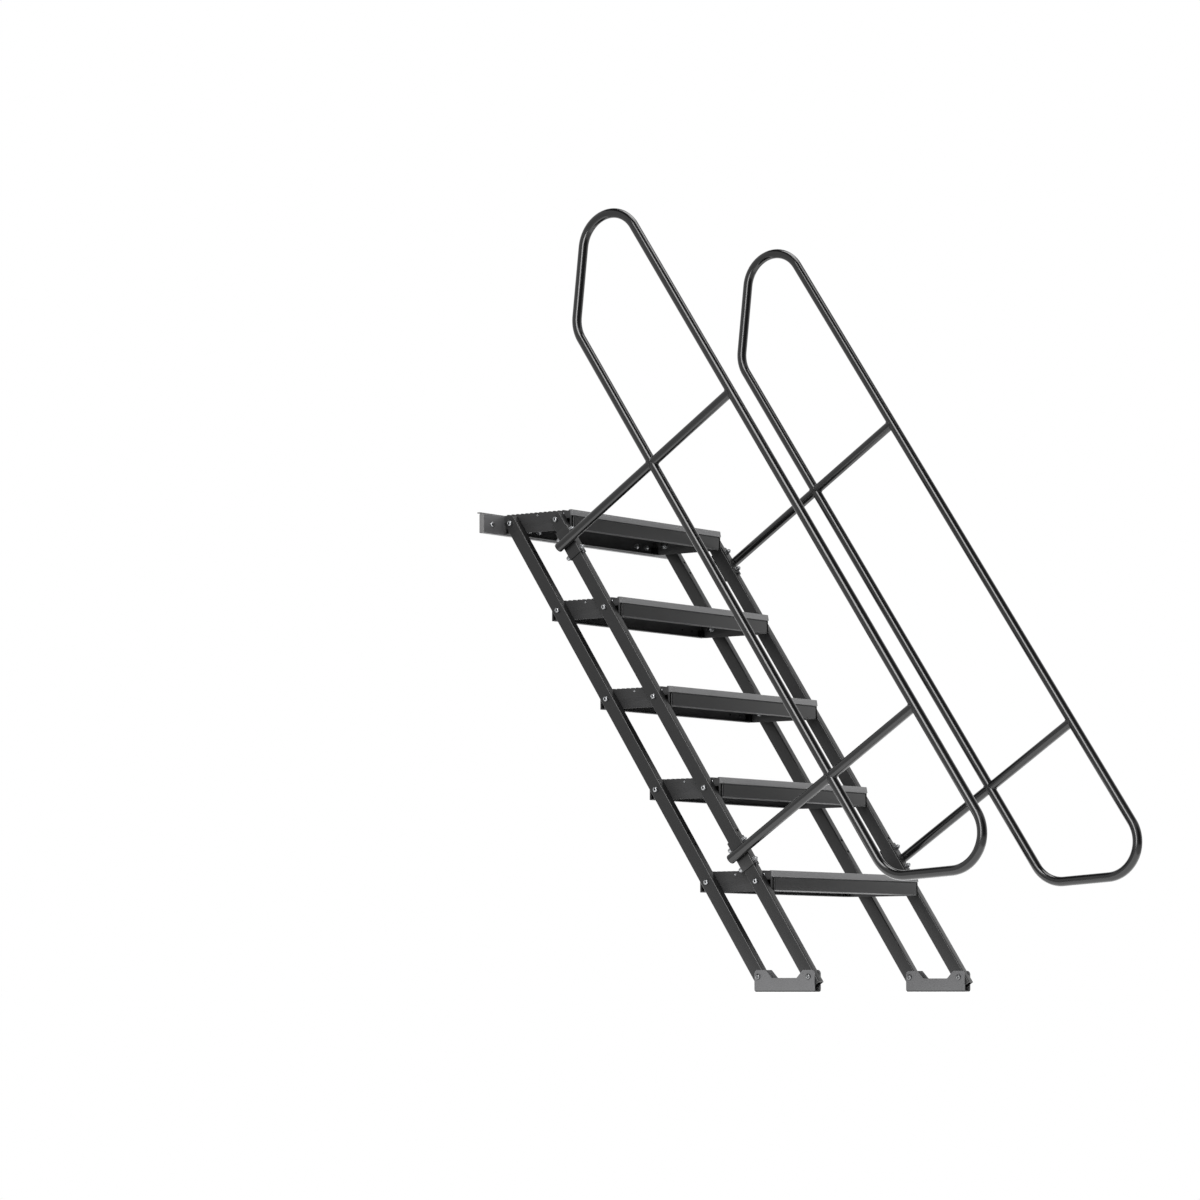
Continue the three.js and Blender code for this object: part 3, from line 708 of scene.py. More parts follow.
def plank_surface(holes):
    """The section carried along the tread, with round holes through the rear flange."""
    outline = plank_outline()
    places = [hole - TREAD_HALF for hole in holes]
    stations = stations_past(places, -PLANK_END, PLANK_END)
    points, faces = closed_ends(carried(outline, stations))
    walls = (REAR_REACH, FLANGE)
    across, upright = hole_circle(FLANGE_HOLE)
    for place in places:
        row = stations.index(place - HOLE_REACH)
        quads = [face_between((row, row + 1), widest_side(outline, 0, wall), len(outline)) for wall in walls]
        circles = [np.column_stack([place + across, np.full(HOLE_STEPS, wall), FLANGE_HOLE_Z + upright])
                   for wall in walls]
        points, faces = drilled(points, faces, quads, circles)
    return points, faces


def nosing_end():
    """The nosing's block carried on over an end plate's front edge."""
    rear = BLOCK_REAR - SEAM
    outline = rounded([
        (STRIP_REAR, TREAD_TOP, 0.7), (NOSING_TOP, TREAD_TOP, 2.2), (FRONT_FACE, BLOCK_BOTTOM, 1.0),
        (rear, BLOCK_BOTTOM, 0.5), (rear, SKIN_TOP, 0.2), (NOSING_REAR, SKIN_TOP, 0.4),
    ], 3)
    return plate(outline, PLANK_END - 0.5, TREAD_HALF, 0.4)


POCKET_WALL, POCKET_FLOOR, POCKET_CORNER, POCKET_MARGIN = 0.7, 1.0, 0.8, 1.0
HOLE_CAP, HOLE_CAP_HEIGHT, HOLE_CAP_BEVEL, HOLE_CAP_SETBACK = 3.4, 2.3, 0.3, 0.7


def pocket_surface(rear, front, top, depth):
    """A cup, open towards the tread's end: rings from its floor out to the rim and back along its
    outside."""
    bottom = 0.5 - TREAD_DROP
    end = PLANK_END - SEAM
    outer = rounded([(y, z, POCKET_CORNER)
                     for y, z in ((rear, bottom), (rear, top), (front, top), (front, bottom))])
    inner = inset(outer, POCKET_WALL)
    rings = [ring_at(inner, end - depth + POCKET_FLOOR), ring_at(inner, end), ring_at(outer, end),
             ring_at(outer, end - depth)]
    return closed_ends(np.array(rings))


def plank_finish(centres):
    """0 coat, 1 black grip on the ribbed top, 2 grey nosing, 3 the underside, in a copy of the coat whose
    colour is set to the shade there: painted shade.
    """
    y, z = centres[:, 1], centres[:, 2]
    chosen = np.zeros(len(centres), int)
    chosen[(z < SKIN_TOP - HAIR) & (y < REAR_REACH - 0.5) & (y > BLOCK_REAR - 0.5)] = 3
    chosen[(z >= SKIN_TOP - HAIR) & (y > STRIP_REAR)] = 1
    on_strip = (z > SKIN_TOP) | (y < NOSING_TOP + 1.0)
    chosen[(z > BLOCK_BOTTOM + 0.3) & (y <= STRIP_REAR) & on_strip] = 2
    return chosen


APRON_SETBACK = 0.9
APRON_WALL = 2.5
APRON_GROOVE = 2.0
APRON_GROOVE_HEIGHT = 3.0
APRON_BEVEL = 2.8
APRON_BEVEL_HEIGHT = 3.4
APRON_LIP = 7.0
APRON_CORNER = 4.0
APRON_END = TREAD_HALF - 8.0
APRON_FACE = FRONT_FACE + APRON_SETBACK


def apron_surface():
    """The front band under the nosing: an upright section with a bevel and a turned-in lip,
    carried in plan from one end's short return, round its corner, along the front and round the
    other corner."""
    turn = np.linspace(0, np.pi / 2, 9)
    left = np.stack([-APRON_END + APRON_CORNER * (1 - np.cos(turn)),
                     APRON_FACE + APRON_CORNER * (1 - np.sin(turn))], -1)
    left_normal = np.stack([-np.cos(turn), -np.sin(turn)], -1)
    other_side = np.array([-1, 1])
    ends = np.array([[-APRON_END, BLOCK_REAR], [APRON_END, BLOCK_REAR]])
    path = np.concatenate([ends[:1], left, left[::-1] * other_side, ends[1:]])
    normal = np.concatenate([[[-1, 0]], left_normal, left_normal[::-1] * other_side, [[1, 0]]])
    top, bottom = BLOCK_BOTTOM - SEAM, -TREAD_DROP
    shoulder = top - APRON_GROOVE_HEIGHT
    inner = APRON_WALL + 1.2
    section = rounded([
        (APRON_GROOVE, top, 0.2), (APRON_GROOVE, shoulder, 0.3), (0.0, shoulder - 0.3, 0.3),
        (0.0, bottom + APRON_BEVEL_HEIGHT, 1.0), (APRON_BEVEL, bottom, 1.0), (APRON_LIP, bottom, 0.8),
        (APRON_LIP, bottom + APRON_WALL, 0.5), (inner, bottom + APRON_WALL, 0.6), (inner, top, 0.3),
    ], 4)
    grid = np.empty((len(path), len(section), 3))
    grid[..., :2] = path[:, None] - normal[:, None] * section[None, :, :1]
    grid[..., 2] = section[:, 1]
    return closed_ends(grid)


def apron_finish(centres):
    """0 the coat outside, 1 the underside's copy of the coat inside and in the groove, its colour set to the
    shade there (painted shade), 2 a far lighter coat on the bend at the bottom, a painted highlight.
    """
    x, y, z = centres.T
    inside = (y > APRON_FACE + APRON_WALL + 0.1) & (np.abs(x) < APRON_END - 1.5)
    groove = z > BLOCK_BOTTOM - APRON_GROOVE_HEIGHT - HAIR
    bend = ~inside & (z < APRON_BEVEL_HEIGHT + 0.1 - TREAD_DROP) & (y < APRON_FACE + APRON_CORNER)
    return np.where(bend, 2, (inside | groove).astype(int))


END_EDGE = FRONT_FACE + 3.0
FRONT_SLOT = (FRONT_FACE + 10.2, FRONT_FACE + 22.4)
FRONT_SLOT_TOP = 5.0
REAR_SLOT = (FLANGE, FLANGE - 10.0)
REAR_SLOT_TOP = -7.0
END_SCREW_PLACES = ((-79.6, 20.3), (-175.7, 18.5))


def end_plate_surface(sign):
    """An end plate with rounded rims, from the rear flange to the nosing's block, then down to its
    front leg's edge behind the apron's plane, with its two slots."""
    top = SKIN_TOP - CLEARANCE
    under_nosing = BLOCK_BOTTOM - CLEARANCE
    front = BLOCK_REAR + HAIR
    outline = rounded([
        (REAR_REACH, -TREAD_DROP, 1.0), (REAR_REACH, top, 2.0), (front, top, 0.8), (front, under_nosing, 0.8),
        (END_EDGE, under_nosing, 0.8), (END_EDGE, -TREAD_DROP, 1.2),
        (FRONT_SLOT[0], -TREAD_DROP, 1.0), (FRONT_SLOT[0], FRONT_SLOT_TOP, 1.5),
        (FRONT_SLOT[1], FRONT_SLOT_TOP, 1.5), (FRONT_SLOT[1], -TREAD_DROP, 1.5),
        (REAR_SLOT[1], -TREAD_DROP, 1.5), (REAR_SLOT[1], REAR_SLOT_TOP, 1.0),
        (REAR_SLOT[0], REAR_SLOT_TOP, 1.0), (REAR_SLOT[0], -TREAD_DROP, 0.8),
    ], 4)
    return mirrored(plate(outline, TREAD_HALF - END_PLATE, TREAD_HALF, 0.6), sign)


def end_finish(centres):
    """0 the plate's coat, 1 near-black on the front leg's edge: painted shade, standing for the shadow in the
    gap behind the apron's end.
    """
    return (centres[:, 1] < END_EDGE + 0.7).astype(int)


def tread_fasteners(y, z):
    """A tread's end screws, and the spacers, washers and nuts of its pivots. The screws' sockets are
    near-black, a painted shade.
    """
    screws = (button_head(diameter=6.5, height=1.6, rim=0.4, socket=2.5),
              button_head(diameter=9.5, height=2.8, rim=0.8, socket=3.0))
    rings = [(washer(outer=20.0, bore=10.6, thickness=1.6), 1, HAIR, 0.0),
             (washer(outer=20.0, bore=10.5, thickness=1.6), -1, -END_PLATE - 0.1, 0.0),
             (hex_nut(across_flats=17.0, height=8.0, bore=10.0), -1, -END_PLATE - 1.8, 0.3)]
    small = []
    for _, sign in SIDES:
        for (screw_y, screw_z), screw in zip(END_SCREW_PLACES, screws):
            at = (sign * TREAD_HALF, y + screw_y, z + screw_z)
            small += [(placed(part, (sign, 0, 0), at, 0.4), coat)
                      for part, coat in zip(screw, (ZINC, SOCKET_PAINTED_SHADE))]
        for pivot in (0.0, -PIVOT_DEPTH):
            for ring, way, out, turn in rings:
                at = (sign * (TREAD_HALF + out), y + pivot, z)
                small.append((placed(ring, (sign * way, 0, 0), at, turn), ZINC))
    return small


def tread_shade_cups(y, z, holes):
    """The near-black cups behind the end plates' slots, and the near-black caps in the rear flange's bare
    holes: painted shade for these openings.
    """
    pockets = (pocket_surface(rear=REAR_SLOT[0] - 0.3, front=REAR_SLOT[1] - POCKET_MARGIN,
                              top=REAR_SLOT_TOP + POCKET_MARGIN, depth=18.0),
               pocket_surface(rear=FRONT_SLOT[1] + POCKET_MARGIN, front=FRONT_SLOT[0] - 0.8,
                              top=FRONT_SLOT_TOP + POCKET_MARGIN, depth=26.0))
    edge, far = HOLE_CAP - HOLE_CAP_BEVEL, HOLE_CAP_HEIGHT - HOLE_CAP_BEVEL
    cap = lathed([(0.0, 0.0), (edge, 0.0), (HOLE_CAP, HOLE_CAP_BEVEL), (HOLE_CAP, far),
                  (edge, HOLE_CAP_HEIGHT), (0.0, HOLE_CAP_HEIGHT)], HOLE_STEPS)
    shade_parts = [(moved(mirrored(pocket, sign), 0, y, z), SLOT_PAINTED_SHADE) for pocket in pockets for _, sign in SIDES]
    places = [(hole - TREAD_HALF, y + FLANGE + HOLE_CAP_SETBACK, z + FLANGE_HOLE_Z) for hole in holes]
    return shade_parts + [(placed(cap, (0, 1, 0), place), SLOT_PAINTED_SHADE) for place in places]


def add_treads():
    """Five treads of one shape: plank, apron, end plates, fasteners, and the near-black cups and caps that
    paint the shade in the slots and holes. The top one's flange holes are covered by the joint nuts, so its
    plank has none."""
    apron = apron_surface()
    plank_kinds = [TREAD_COAT, GRIP_BLACK, NOSING_GREY, UNDERSIDE_PAINTED_SHADING]
    apron_kinds = [TREAD_COAT, UNDERSIDE_PAINTED_SHADING, BEND_PAINTED_HIGHLIGHT]
    for number in range(1, TREADS + 1):
        along = number * PIVOT_SPACING
        y, z = FOOT_REAR_Y + along * COS, FOOT_REAR_Z + along * SIN
        name = f"tread_{number}"
        body = "top_tread" if number == TREADS else f"{name}_body"
        holes = () if number == TREADS else FLANGE_HOLES
        parts = [(moved(plank_surface(holes), 0, y, z), plank_kinds, rule_from(plank_finish, y, z))]
        parts += [(moved(mirrored(nosing_end(), sign), 0, y, z), NOSING_GREY) for _, sign in SIDES]
        make_piece(f"{name}_plank", parts, body, [name])
        parts = [(moved(apron, 0, y, z), apron_kinds, rule_from(apron_finish, y, z))]
        make_piece(f"{name}_apron", parts, body)
        for side, sign in SIDES:
            end = moved(end_plate_surface(sign), 0, y, z)
            parts = [(end, [END_COAT, SLOT_PAINTED_SHADE], rule_from(end_finish, y, z))]
            make_piece(f"{name}_{side}_end", parts, body, [f"{name}_{side}_end_plate"])
        make_piece(f"{name}_fasteners", tread_fasteners(y, z), body)
        make_piece(f"{name}_slot_pockets", tread_shade_cups(y, z, holes), body)


def rule_from(rule, y, z):
    """A finish rule that works in the tread's own places."""
    return lambda centres: rule(centres - np.array([0.0, y, z]))


# Bars

BAR_RIM = 0.35
BAR_HOLE = 9.0
REAR_BAR_HOLES = (434.0, 475.0, 1473.5, 1514.0)
FRONT_BAR_HOLES = (478.0,)


def box_outline(width, depth, radius):
    """A rectangle round zero with rounded corners."""
    x, out = width / 2, depth / 2
    return rounded([(-x, -out, radius), (x, -out, radius), (x, out, radius), (-x, out, radius)], 6)


def bar_surface(sign, holes):
    """A rectangular tube: its rounded outer and inner outlines carried along the bar and joined at
    both cut ends, with round holes through its front wall."""
    depth = BAR_DEPTH - 2 * BAR_WALL
    outer = box_outline(BAR_THICKNESS, BAR_DEPTH, BAR_CORNER)
    inner = box_outline(BAR_THICKNESS - 2 * BAR_WALL, depth, BAR_CORNER - BAR_WALL)
    cut = inset(outer, BAR_RIM)
    start, end = -BAR_LOWER_END, TOP_PIVOT + BAR_UPPER_END
    stations = stations_past(holes, start + BAR_RIM, end - BAR_RIM)
    rings = [ring_at(cut, start), *carried(outer, stations), ring_at(cut, end)]
    rings += [ring_at(inner, end), *carried(inner, stations[::-1]), ring_at(inner, start)]
    faces = grid_faces(len(rings), len(outer), True, True)
    points = np.array(rings).reshape(-1, 3)[:, [1, 0, 2]]
    across, along = hole_circle(BAR_HOLE)
    for hole in holes:
        row = stations.index(hole - HOLE_REACH) + 1
        back = len(rings) - 1 - row
        skins = ((outer, BAR_DEPTH / 2, (row, row + 1)), (inner, depth / 2, (back, back - 1)))
        quads = [face_between(rows, widest_side(skin, 1, wall), len(outer)) for skin, wall, rows in skins]
        circles = [np.column_stack([across, hole + along, np.full(HOLE_STEPS, wall)]) for _, wall, _ in skins]
        points, faces = drilled(points, faces, quads, circles)
    return moved((points, faces), sign * BAR_MIDDLE)


def add_bars():
    """The four bars, left and right, rear and front."""
    for side, sign in SIDES:
        for row, holes in (("rear", REAR_BAR_HOLES), ("front", FRONT_BAR_HOLES)):
            bar = from_bars(bar_surface(sign, holes), row == "front")
            make_piece(f"{side}_{row}_stringer", [(bar, BAR_COAT)], f"{row}_bars",
                       [f"{side}_{row}_bar"])


BOLT_TIP = 6.0
TREAD_BOLT = dict(head=16.0, height=8.5, rim=3.0, socket=5.5, shank=10.0, pitch=1.5)
FOOT_BOLT = dict(head=16.0, height=5.0, rim=1.2, socket=6.0, shank=10.0, pitch=1.5)
CLAMP_BOLT = dict(head=14.0, height=11.5, rim=5.5, socket=5.0, shank=8.0, pitch=1.25)
STAGE_BOLT = dict(head=15.0, height=5.0, rim=1.0, socket=5.0, shank=8.0, pitch=1.25)
SMALL_NUT = hex_nut(across_flats=13.0, height=6.6, bore=8.0)
SMALL_WASHER = washer(outer=16.0, bore=8.4, thickness=1.5)
PIVOT_TAIL, CLAMP_TAIL, STAGE_TAIL = 12.0, 12.0, 14.0
FOOT_GAP = 3.5
FIRST_TURN, TURN_STEP, FRONT_TURN = 0.35, 0.9, 1.3


def bolt_surfaces(length, head, height, rim, socket, shank, pitch):
    """A button head with its shank below: a plain length, then the threaded tip. The socket's recess is
    near-black, a painted shade.
    """
    seam = BOLT_TIP - length
    plain = lathed([(0.0, 0.0), (shank / 2, 0.0), (shank / 2, seam), (0.0, seam)], THREAD_STEPS)
    dome, recess = button_head(head, height, rim, socket)
    return [(dome, ZINC), (recess, SOCKET_PAINTED_SHADE), (plain, ZINC), (threaded_end(shank, BOLT_TIP, pitch, seam), ZINC)]


def add_pivot_bolts():
    """The pivot bolts, each with its socket at its own angle. Those of the feet are darker and have
    a head at either end."""
    tread_bolt = bolt_surfaces(BAR_OUTER + CLEARANCE - TREAD_HALF + END_PLATE + PIVOT_TAIL, **TREAD_BOLT)
    foot_outer, foot_inner = BAR_OUTER + FOOT_GAP, BAR_INNER - FOOT_GAP
    foot_bolt = bolt_surfaces(foot_outer + CLEARANCE - foot_inner, **FOOT_BOLT)
    foot_bolt = [(surface, FOOT_ZINC) for surface, _ in foot_bolt]
    bodies = frame["record"]["behaviour"]["bodies"]
    owners = {node: body for body, members in bodies.items() for node in members}
    for side, sign in SIDES:
        for row, front, row_turn in (("rear", 0.0, 0.0), ("front", -PIVOT_DEPTH, FRONT_TURN)):
            for number in range(TREADS + 1):
                along = number * PIVOT_SPACING
                y, z = FOOT_REAR_Y + front + along * COS, FOOT_REAR_Z + along * SIN
                turn = FIRST_TURN + TURN_STEP * number + row_turn
                who, bolt, face = f"tread_{number}_{side}", tread_bolt, BAR_OUTER
                if number == 0:
                    who, bolt, face = f"{side}_foot", foot_bolt, foot_outer
                at = (sign * (face + CLEARANCE), y, z)
                parts = [(placed(part, (sign, 0, 0), at, turn), coat) for part, coat in bolt]
                if number == 0:
                    at = (sign * (foot_inner - CLEARANCE), y, z)
                    parts += [(placed(part, (-sign, 0, 0), at, turn), coat) for part, coat in bolt[:2]]
                node = f"{who}_{row}_pivot_bolt"
                make_piece(f"{who}_{row}_pivot", parts, owners[node], [node])


# Feet

FOOT_REAR, FOOT_FRONT = 12.0, -(PIVOT_DEPTH + 20.5)
EAR_HEIGHT, WALL_HEIGHT = 60.8, 38.6
REAR_EAR, FRONT_EAR, EAR_SLOPE = 37.5, 39.0, 21.0
EAR_CORNER, WALL_CORNER = 10.0, 4.0
FOOT_HALF, FOOT_WALL, FOOT_RIM = 16.0, 3.0, 0.5
FOOT_FOLD, FOOT_INNER_FOLD = 4.0, 1.2
SOLE_LIFT = 3.4
SOLE_STATIONS = np.array([0.0, 0.2, 0.45, 0.9, 1.5, 2.2, 3.0, SOLE_LIFT])
UNDERSIDE, WALL_TOP, SOLE = 0, 1, 2


def foot_surface(sign):
    """A folded channel: at each station along the foot a U-shaped section, whose walls rise to the
    ears' outline and whose underside lifts by a quarter circle at both ends. A point of the section
    is (x, what it follows, rise above that)."""
    rear_ear, front_ear = FOOT_REAR - REAR_EAR, FOOT_FRONT + FRONT_EAR
    top = rounded([
        (FOOT_REAR, -FOOT_WALL, 0), (FOOT_REAR, EAR_HEIGHT, EAR_CORNER),
        (rear_ear, EAR_HEIGHT, WALL_CORNER), (rear_ear - EAR_SLOPE, WALL_HEIGHT, WALL_CORNER),
        (front_ear + EAR_SLOPE, WALL_HEIGHT, WALL_CORNER), (front_ear, EAR_HEIGHT, WALL_CORNER),
        (FOOT_FRONT, EAR_HEIGHT, EAR_CORNER), (FOOT_FRONT, -FOOT_WALL, 0),
    ], 8)
    top = top[top[:, 1] > 0]
    places = np.concatenate([FOOT_REAR - SOLE_STATIONS, FOOT_FRONT + SOLE_STATIONS, top[:, 0]])
    stations = np.unique(places.round(4))[::-1]
    top = top[np.argsort(top[:, 0])]
    height = np.interp(stations, top[:, 0], top[:, 1])
    inward = np.maximum(0.0, SOLE_LIFT - np.minimum(FOOT_REAR - stations, stations - FOOT_FRONT))
    bottom = SOLE_LIFT - np.sqrt(np.maximum(0.0, SOLE_LIFT**2 - inward**2))
    inside = FOOT_HALF - FOOT_WALL
    fold = [(1 - math.cos(angle), 1 - math.sin(angle)) for angle in np.linspace(0, np.pi / 2, 6)]
    section = [(-FOOT_HALF, WALL_TOP, -FOOT_RIM)]
    section += [(FOOT_FOLD * u - FOOT_HALF, UNDERSIDE, FOOT_FOLD * v) for u, v in fold]
    section += [(FOOT_HALF - FOOT_FOLD * v, UNDERSIDE, FOOT_FOLD * u) for u, v in fold]
    section += [(FOOT_HALF, WALL_TOP, -FOOT_RIM), (FOOT_HALF - FOOT_RIM, WALL_TOP, 0.0)]
    section += [(inside + FOOT_RIM, WALL_TOP, 0.0), (inside, WALL_TOP, -FOOT_RIM)]
    section += [(inside - FOOT_INNER_FOLD * u, SOLE, FOOT_WALL + FOOT_INNER_FOLD * v) for u, v in fold]
    section += [(FOOT_INNER_FOLD * v - inside, SOLE, FOOT_WALL + FOOT_INNER_FOLD * u) for u, v in fold]
    section += [(-inside, WALL_TOP, -FOOT_RIM), (-inside - FOOT_RIM, WALL_TOP, 0.0)]
    section += [(FOOT_RIM - FOOT_HALF, WALL_TOP, 0.0)]
    x, follows, rise = np.array(section).T
    levels = np.stack([bottom, height, np.zeros(len(stations))], -1)
    grid = np.empty((len(stations), len(section), 3))
    grid[..., 0] = x + sign * BAR_MIDDLE
    grid[..., 1] = stations[:, None] + FOOT_REAR_Y
    grid[..., 2] = levels[:, follows.astype(int)] + rise + FLOOR_Z
    return closed_ends(grid)


def add_feet():
    """Both feet."""
    for side, sign in SIDES:
        make_piece(f"{side}_foot_channel", [(foot_surface(sign), FOOT_COAT)], f"{side}_foot_body",
                   [f"{side}_foot"])


# Handrails

LOOP_CORNERS = (
    (74.6, LOWER_RAIL, BEND_RADIUS), (-114.3, UPPER_RAIL, BEND_RADIUS + 0.95),
    (TOP_PIVOT + 805.5, UPPER_RAIL, BEND_RADIUS), (TOP_PIVOT + 410.3, LOWER_RAIL, BEND_RADIUS),
)
TUBE_STEPS, TUBE_WALL, TUBE_BEVEL = 40, 2.0, 0.3
PLUG_FLANGE, PLUG_LENGTH, PLUG_RIM = 2.5, 5.0, 1.6
SADDLE_MARGIN, SADDLE_REACH_IN, SADDLE_FOLD = 15.5, 1.0, 3.6
BEAD_RADIUS, BEAD_SIDES, BEAD_STEPS, BEAD_RIPPLES, BEAD_OPENING = 1.7, 10, 180, 44, 7.0
SIDE_WELD_STEPS, SIDE_WELD_RADIUS, SIDE_WELD_HALF = 60, 2.0, 18.5
SIDE_WELD_OFFSET, SIDE_WELD_OUT = 7.6, 1.0
SIDE_WELD_RIPPLES, SIDE_WELD_RIPPLE_SHARE = 70, 0.08
CLAMP_OUT, CLAMP_LOWER = 5.0, 2.5
SET_SCREW_GAP, SEAT = 15.0, 0.05


def loop_surface(sign):
    """The rail's closed tube: circles square to a line of four straights and four bends."""
    line = rounded(LOOP_CORNERS, 28)
    ahead = unit(np.roll(line, -1, 0) - line)
    heading = unit(ahead + np.roll(ahead, 1, 0))
    out = np.stack([-heading[:, 1], heading[:, 0]], -1)
    around = full_turn(TUBE_STEPS)
    grid = np.empty((len(line), TUBE_STEPS, 3))
    grid[..., 0] = sign * RAIL_PLANE + TUBE_RADIUS * np.sin(around)
    grid[..., 1:] = line[:, None] + TUBE_RADIUS * np.cos(around)[:, None] * out[:, None]
    return ring_surface(grid)


def on_post(profile, sign, post):
    """A profile turned about a post's axis."""
    return moved(lathed(profile, TUBE_STEPS), sign * RAIL_PLANE, post)


def post_surface(sign, post):
    """A post: an open tube end below, its wall turned in round the plug, up to inside the rail."""
    low, high = POST_END + PLUG_FLANGE + 0.1, UPPER_RAIL - 1.0
    floor, bore = low + 3.0, TUBE_RADIUS - TUBE_WALL
    profile = [(0.0, floor), (bore - 0.2, floor), (bore, low), (TUBE_RADIUS - TUBE_BEVEL, low),
               (TUBE_RADIUS, low + TUBE_BEVEL), (TUBE_RADIUS - 0.04, high), (0.0, high)]
    return on_post(profile, sign, post)


def plug_surface(sign, post):
    """A post's plug: a disc with a rounded rim over the tube's end, and a stem inside it."""
    edge, bore = TUBE_RADIUS - TUBE_BEVEL, TUBE_RADIUS - TUBE_WALL
    step, tip = POST_END + PLUG_FLANGE, POST_END + PLUG_LENGTH
    turn = np.linspace(0, np.pi / 2, 6)
    rim = zip(edge - PLUG_RIM * (1 - np.sin(turn)), POST_END + PLUG_RIM * (1 - np.cos(turn)))
    profile = [(0.0, POST_END), *rim, (edge, step), (bore - 0.4, step), (bore - 0.6, tip), (0.0, tip)]
    return on_post(profile, sign, post)


def weld_path(sign, post, rail, way):
    """Where post and rail meet: out = rail + way * root(along squared + a small opening), with x
    and along on the post's circle. The opening keeps the bead clear of itself at the crossings."""
    turn = full_turn(BEAD_STEPS)
    x, along = TUBE_RADIUS * np.sin(turn), TUBE_RADIUS * np.cos(turn)
    out = rail + way * np.sqrt(along**2 + BEAD_OPENING)
    return np.stack([sign * RAIL_PLANE + x, post + along, out], -1)


def saddle_surface(sign, post):
    """A plate folded round the bar's outside, front and rear: its U section with rounded folds,
    carried along the bar."""
    inside = BAR_DEPTH / 2 + CLEARANCE
    outside = inside + SADDLE_PLATE
    rim, web = BAR_INNER + SADDLE_REACH_IN, BAR_OUTER + CLEARANCE
    back = web + SADDLE_PLATE
    section = rounded([
        (rim, -outside, 0.5), (back, -outside, SADDLE_FOLD), (back, outside, SADDLE_FOLD),
        (rim, outside, 0.5), (rim, inside, 0.5), (web, inside, 0.6), (web, -inside, 0.6), (rim, -inside, 0.5),
    ], 5)
    half = SADDLE_BOLT_SPREAD + SADDLE_MARGIN
    points, faces = plate(section, post - half, post + half, 0.4)
    return mirrored((points[:, [1, 0, 2]], faces), sign)


def side_weld(sign, post, side):
    """A straight weld between post and saddle, rounded at both ends and rippled along."""
    along = np.linspace(0, 1, SIDE_WELD_STEPS)[:, None]
    ripple = 1 + SIDE_WELD_RIPPLE_SHARE * np.sin(along * SIDE_WELD_RIPPLES)
    radius = SIDE_WELD_RADIUS * np.sqrt(np.clip(1 - (2 * along - 1) ** 10, 0.0, 1.0)) * ripple
    around = full_turn(BEAD_SIDES)
    middle = BAR_OUTER + CLEARANCE + SADDLE_PLATE + SIDE_WELD_OUT
    grid = np.empty((SIDE_WELD_STEPS, BEAD_SIDES, 3))
    grid[..., 0] = sign * (middle + radius * np.cos(around))
    grid[..., 1] = post + side * SIDE_WELD_OFFSET + radius * np.sin(around)
    grid[..., 2] = (along * 2 - 1) * SIDE_WELD_HALF
    return grid.reshape(-1, 3), grid_faces(SIDE_WELD_STEPS, BEAD_SIDES, False, True)


def frame_surfaces(sign, post):
    """One post of a handrail with its welds to the rails and to its saddle."""
    surfaces = [post_surface(sign, post), side_weld(sign, post, -1), side_weld(sign, post, 1)]
    for rail, way in ((UPPER_RAIL, -1), (LOWER_RAIL, -1), (LOWER_RAIL, 1)):
        surfaces.append(bead(weld_path(sign, post, rail, way), BEAD_RADIUS, BEAD_SIDES, BEAD_RIPPLES))
    return surfaces


def clamp_fasteners(sign, place, with_set_screw):
    """A clamp's bolt from behind, its washer and nut in front, and a set screw below some nuts, with a
    near-black ring round it that paints the shade there.
    """
    face = BAR_DEPTH / 2 + CLEARANCE + SADDLE_PLATE
    bolt = bolt_surfaces(2 * (face + CLEARANCE) + CLAMP_TAIL, **CLAMP_BOLT)
    x, forward = sign * (BAR_MIDDLE + CLAMP_OUT), (0, 0, 1)
    small = [(on_front_bars(part, (0, 0, -1), (x, place, -face - CLEARANCE)), coat) for part, coat in bolt]
    small.append((on_front_bars(SMALL_WASHER, forward, (x, place, face + SEAT)), ZINC))
    small.append((on_front_bars(SMALL_NUT, forward, (x, place, face + 1.6), 0.4), ZINC))
    if with_set_screw:
        at = (x, place - SET_SCREW_GAP, face + SEAT)
        shade_ring = washer(outer=10.5, bore=6.2, thickness=1.4)
        screw = button_head(diameter=6.0, height=1.2, rim=0.4, socket=2.5)
        small.append((on_front_bars(shade_ring, forward, at), SOCKET_PAINTED_SHADE))
        small += [(on_front_bars(part, forward, at), ZINC) for part in screw]
    return small


def add_handrails():
    """Each handrail with its welds, saddles and plugs, and the clamps' bolts and nuts."""
    posts = (("lower", LOWER_POST), ("upper", UPPER_POST))
    for side, sign in SIDES:
        parts = [(from_bars(loop_surface(sign), True), RAIL_COAT)]
        for _, post in posts:
            parts.append((from_bars(saddle_surface(sign, post), True), BAR_COAT))
            parts += [(from_bars(surface, True), RAIL_COAT) for surface in frame_surfaces(sign, post)]
        make_piece(f"{side}_handrail_frame", parts, "front_bars", [f"{side}_handrail"])
        plugs = [(from_bars(plug_surface(sign, post), True), BLACK_PLASTIC) for _, post in posts]
        make_piece(f"{side}_post_plugs", plugs, "front_bars")
        for name, post in posts:
            for row, way in (("bottom", -1), ("top", 1)):
                place = post + way * SADDLE_BOLT_SPREAD - CLAMP_LOWER
                small = clamp_fasteners(sign, place, row == "bottom")
                clamp = f"{side}_{name}_clamp_{row}"
                make_piece(f"{clamp}_fastener", small, "front_bars", [f"{clamp}_bolt"])


# Hook rail

LIP_GAP, LIP_PLATE, LIP_REACH, LIP_ROOT = 2.5, 3.0, 10.0, 3.0
CAP_PLATE, CAP_CORNER = 2.0, 2.0
STAGE_BOLT_OUT = 60.0


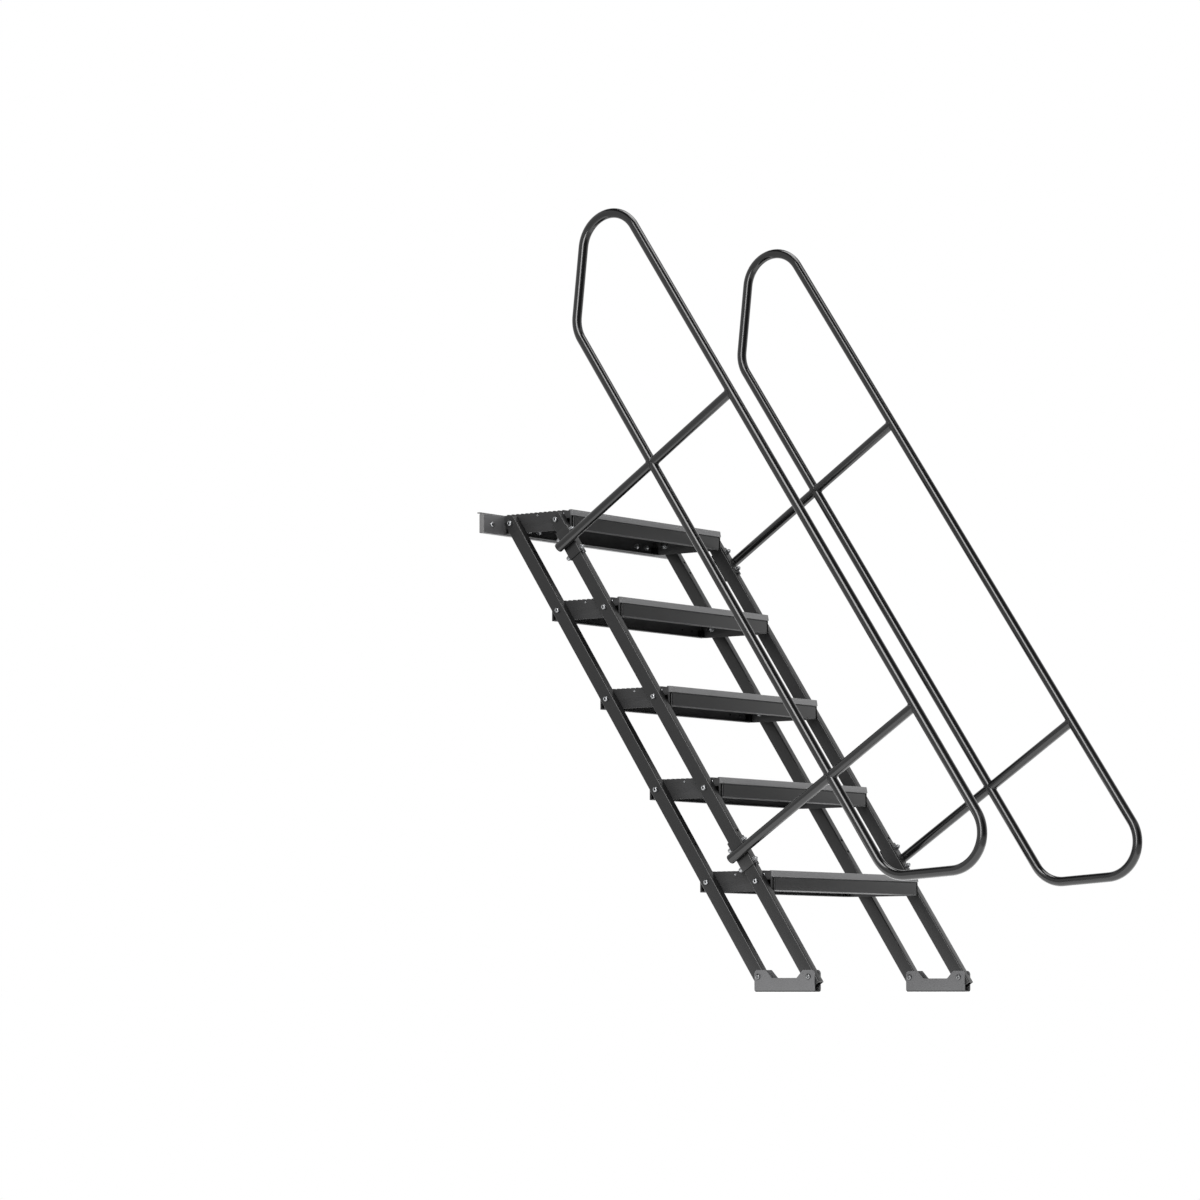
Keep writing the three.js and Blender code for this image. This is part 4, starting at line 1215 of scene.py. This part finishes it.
def hook_surface():
    """The rail's section with its lip, carried along X with broken edges."""
    half = HOOK_HEIGHT / 2
    lip = half + LIP_GAP
    section = rounded([
        (-HOOK_DEPTH, -half, 1.2), (0.0, -half, 1.0), (0.0, lip, 0.8), (LIP_REACH, lip, 0.8),
        (LIP_REACH, lip + LIP_PLATE, 0.8), (-LIP_ROOT, lip + LIP_PLATE, 1.2), (-LIP_ROOT, half, 0.8),
        (-HOOK_DEPTH, half, 1.2),
    ], 4)
    return plate(section, -HOOK_END, HOOK_END, 0.3)


def cap_surface(sign):
    """An end cap: a plate with softly rounded corners and rim over the rail's end."""
    half = HOOK_HEIGHT / 2
    section = rounded([(y, z, CAP_CORNER) for y, z in ((-HOOK_DEPTH, -half), (0.0, -half), (0.0, half),
                                                       (-HOOK_DEPTH, half))], 5)
    return mirrored(plate(section, HOOK_END + SEAT, HOOK_END + CLEARANCE + CAP_PLATE, 0.9, 4), sign)


def add_hook_rail():
    """The hook rail, its caps, its stage bolts, and the nuts that join it to the top tread, in a brightened
    zinc that paints their glints.
    """
    make_piece("hook_rail", [(hook_surface(), HOOK_METAL)], "top_tread",
               ["stage_hook_rail"])
    bolt = bolt_surfaces(HOOK_DEPTH + CLEARANCE + STAGE_TAIL, **STAGE_BOLT)
    for side, sign in SIDES:
        make_piece(f"{side}_hook_cap", [(cap_surface(sign), CAP_PLASTIC)], "top_tread",
                   [f"{side}_rail_cap"])
        at = (sign * (TREAD_HALF + STAGE_BOLT_OUT), -(HOOK_DEPTH + CLEARANCE), 0.0)
        parts = [(placed(part, (0, -1, 0), at), coat) for part, coat in bolt]
        make_piece(f"{side}_hook_bolt", parts, "top_tread", [f"{side}_stage_bolt"])
    joints = []
    tip = threaded_end(diameter=8.0, length=10.0, pitch=1.25, top=0.0)
    stack = ((SMALL_WASHER, -1, 0.1, 0.0), (SMALL_NUT, -1, 1.7, 0.2), (tip, 1, 0.0, 0.0))
    y, z = TOP_REAR_Y + FLANGE, TOP_REAR_Z + FLANGE_HOLE_Z
    for hole in FLANGE_HOLES:
        for surface, way, inward, turn in stack:
            at = (hole - TREAD_HALF, y - inward, z)
            joints.append((placed(surface, (0, way, 0), at, turn), JOINT_ZINC_PAINTED_GLINT))
    make_piece("top_tread_joint_nuts", joints, "top_tread")


add_camera()
add_world()
add_floor()
add_lamps()
add_treads()
add_bars()
add_pivot_bolts()
add_feet()
add_handrails()
add_hook_rail()

bpy.context.scene.view_settings.view_transform = "Standard"
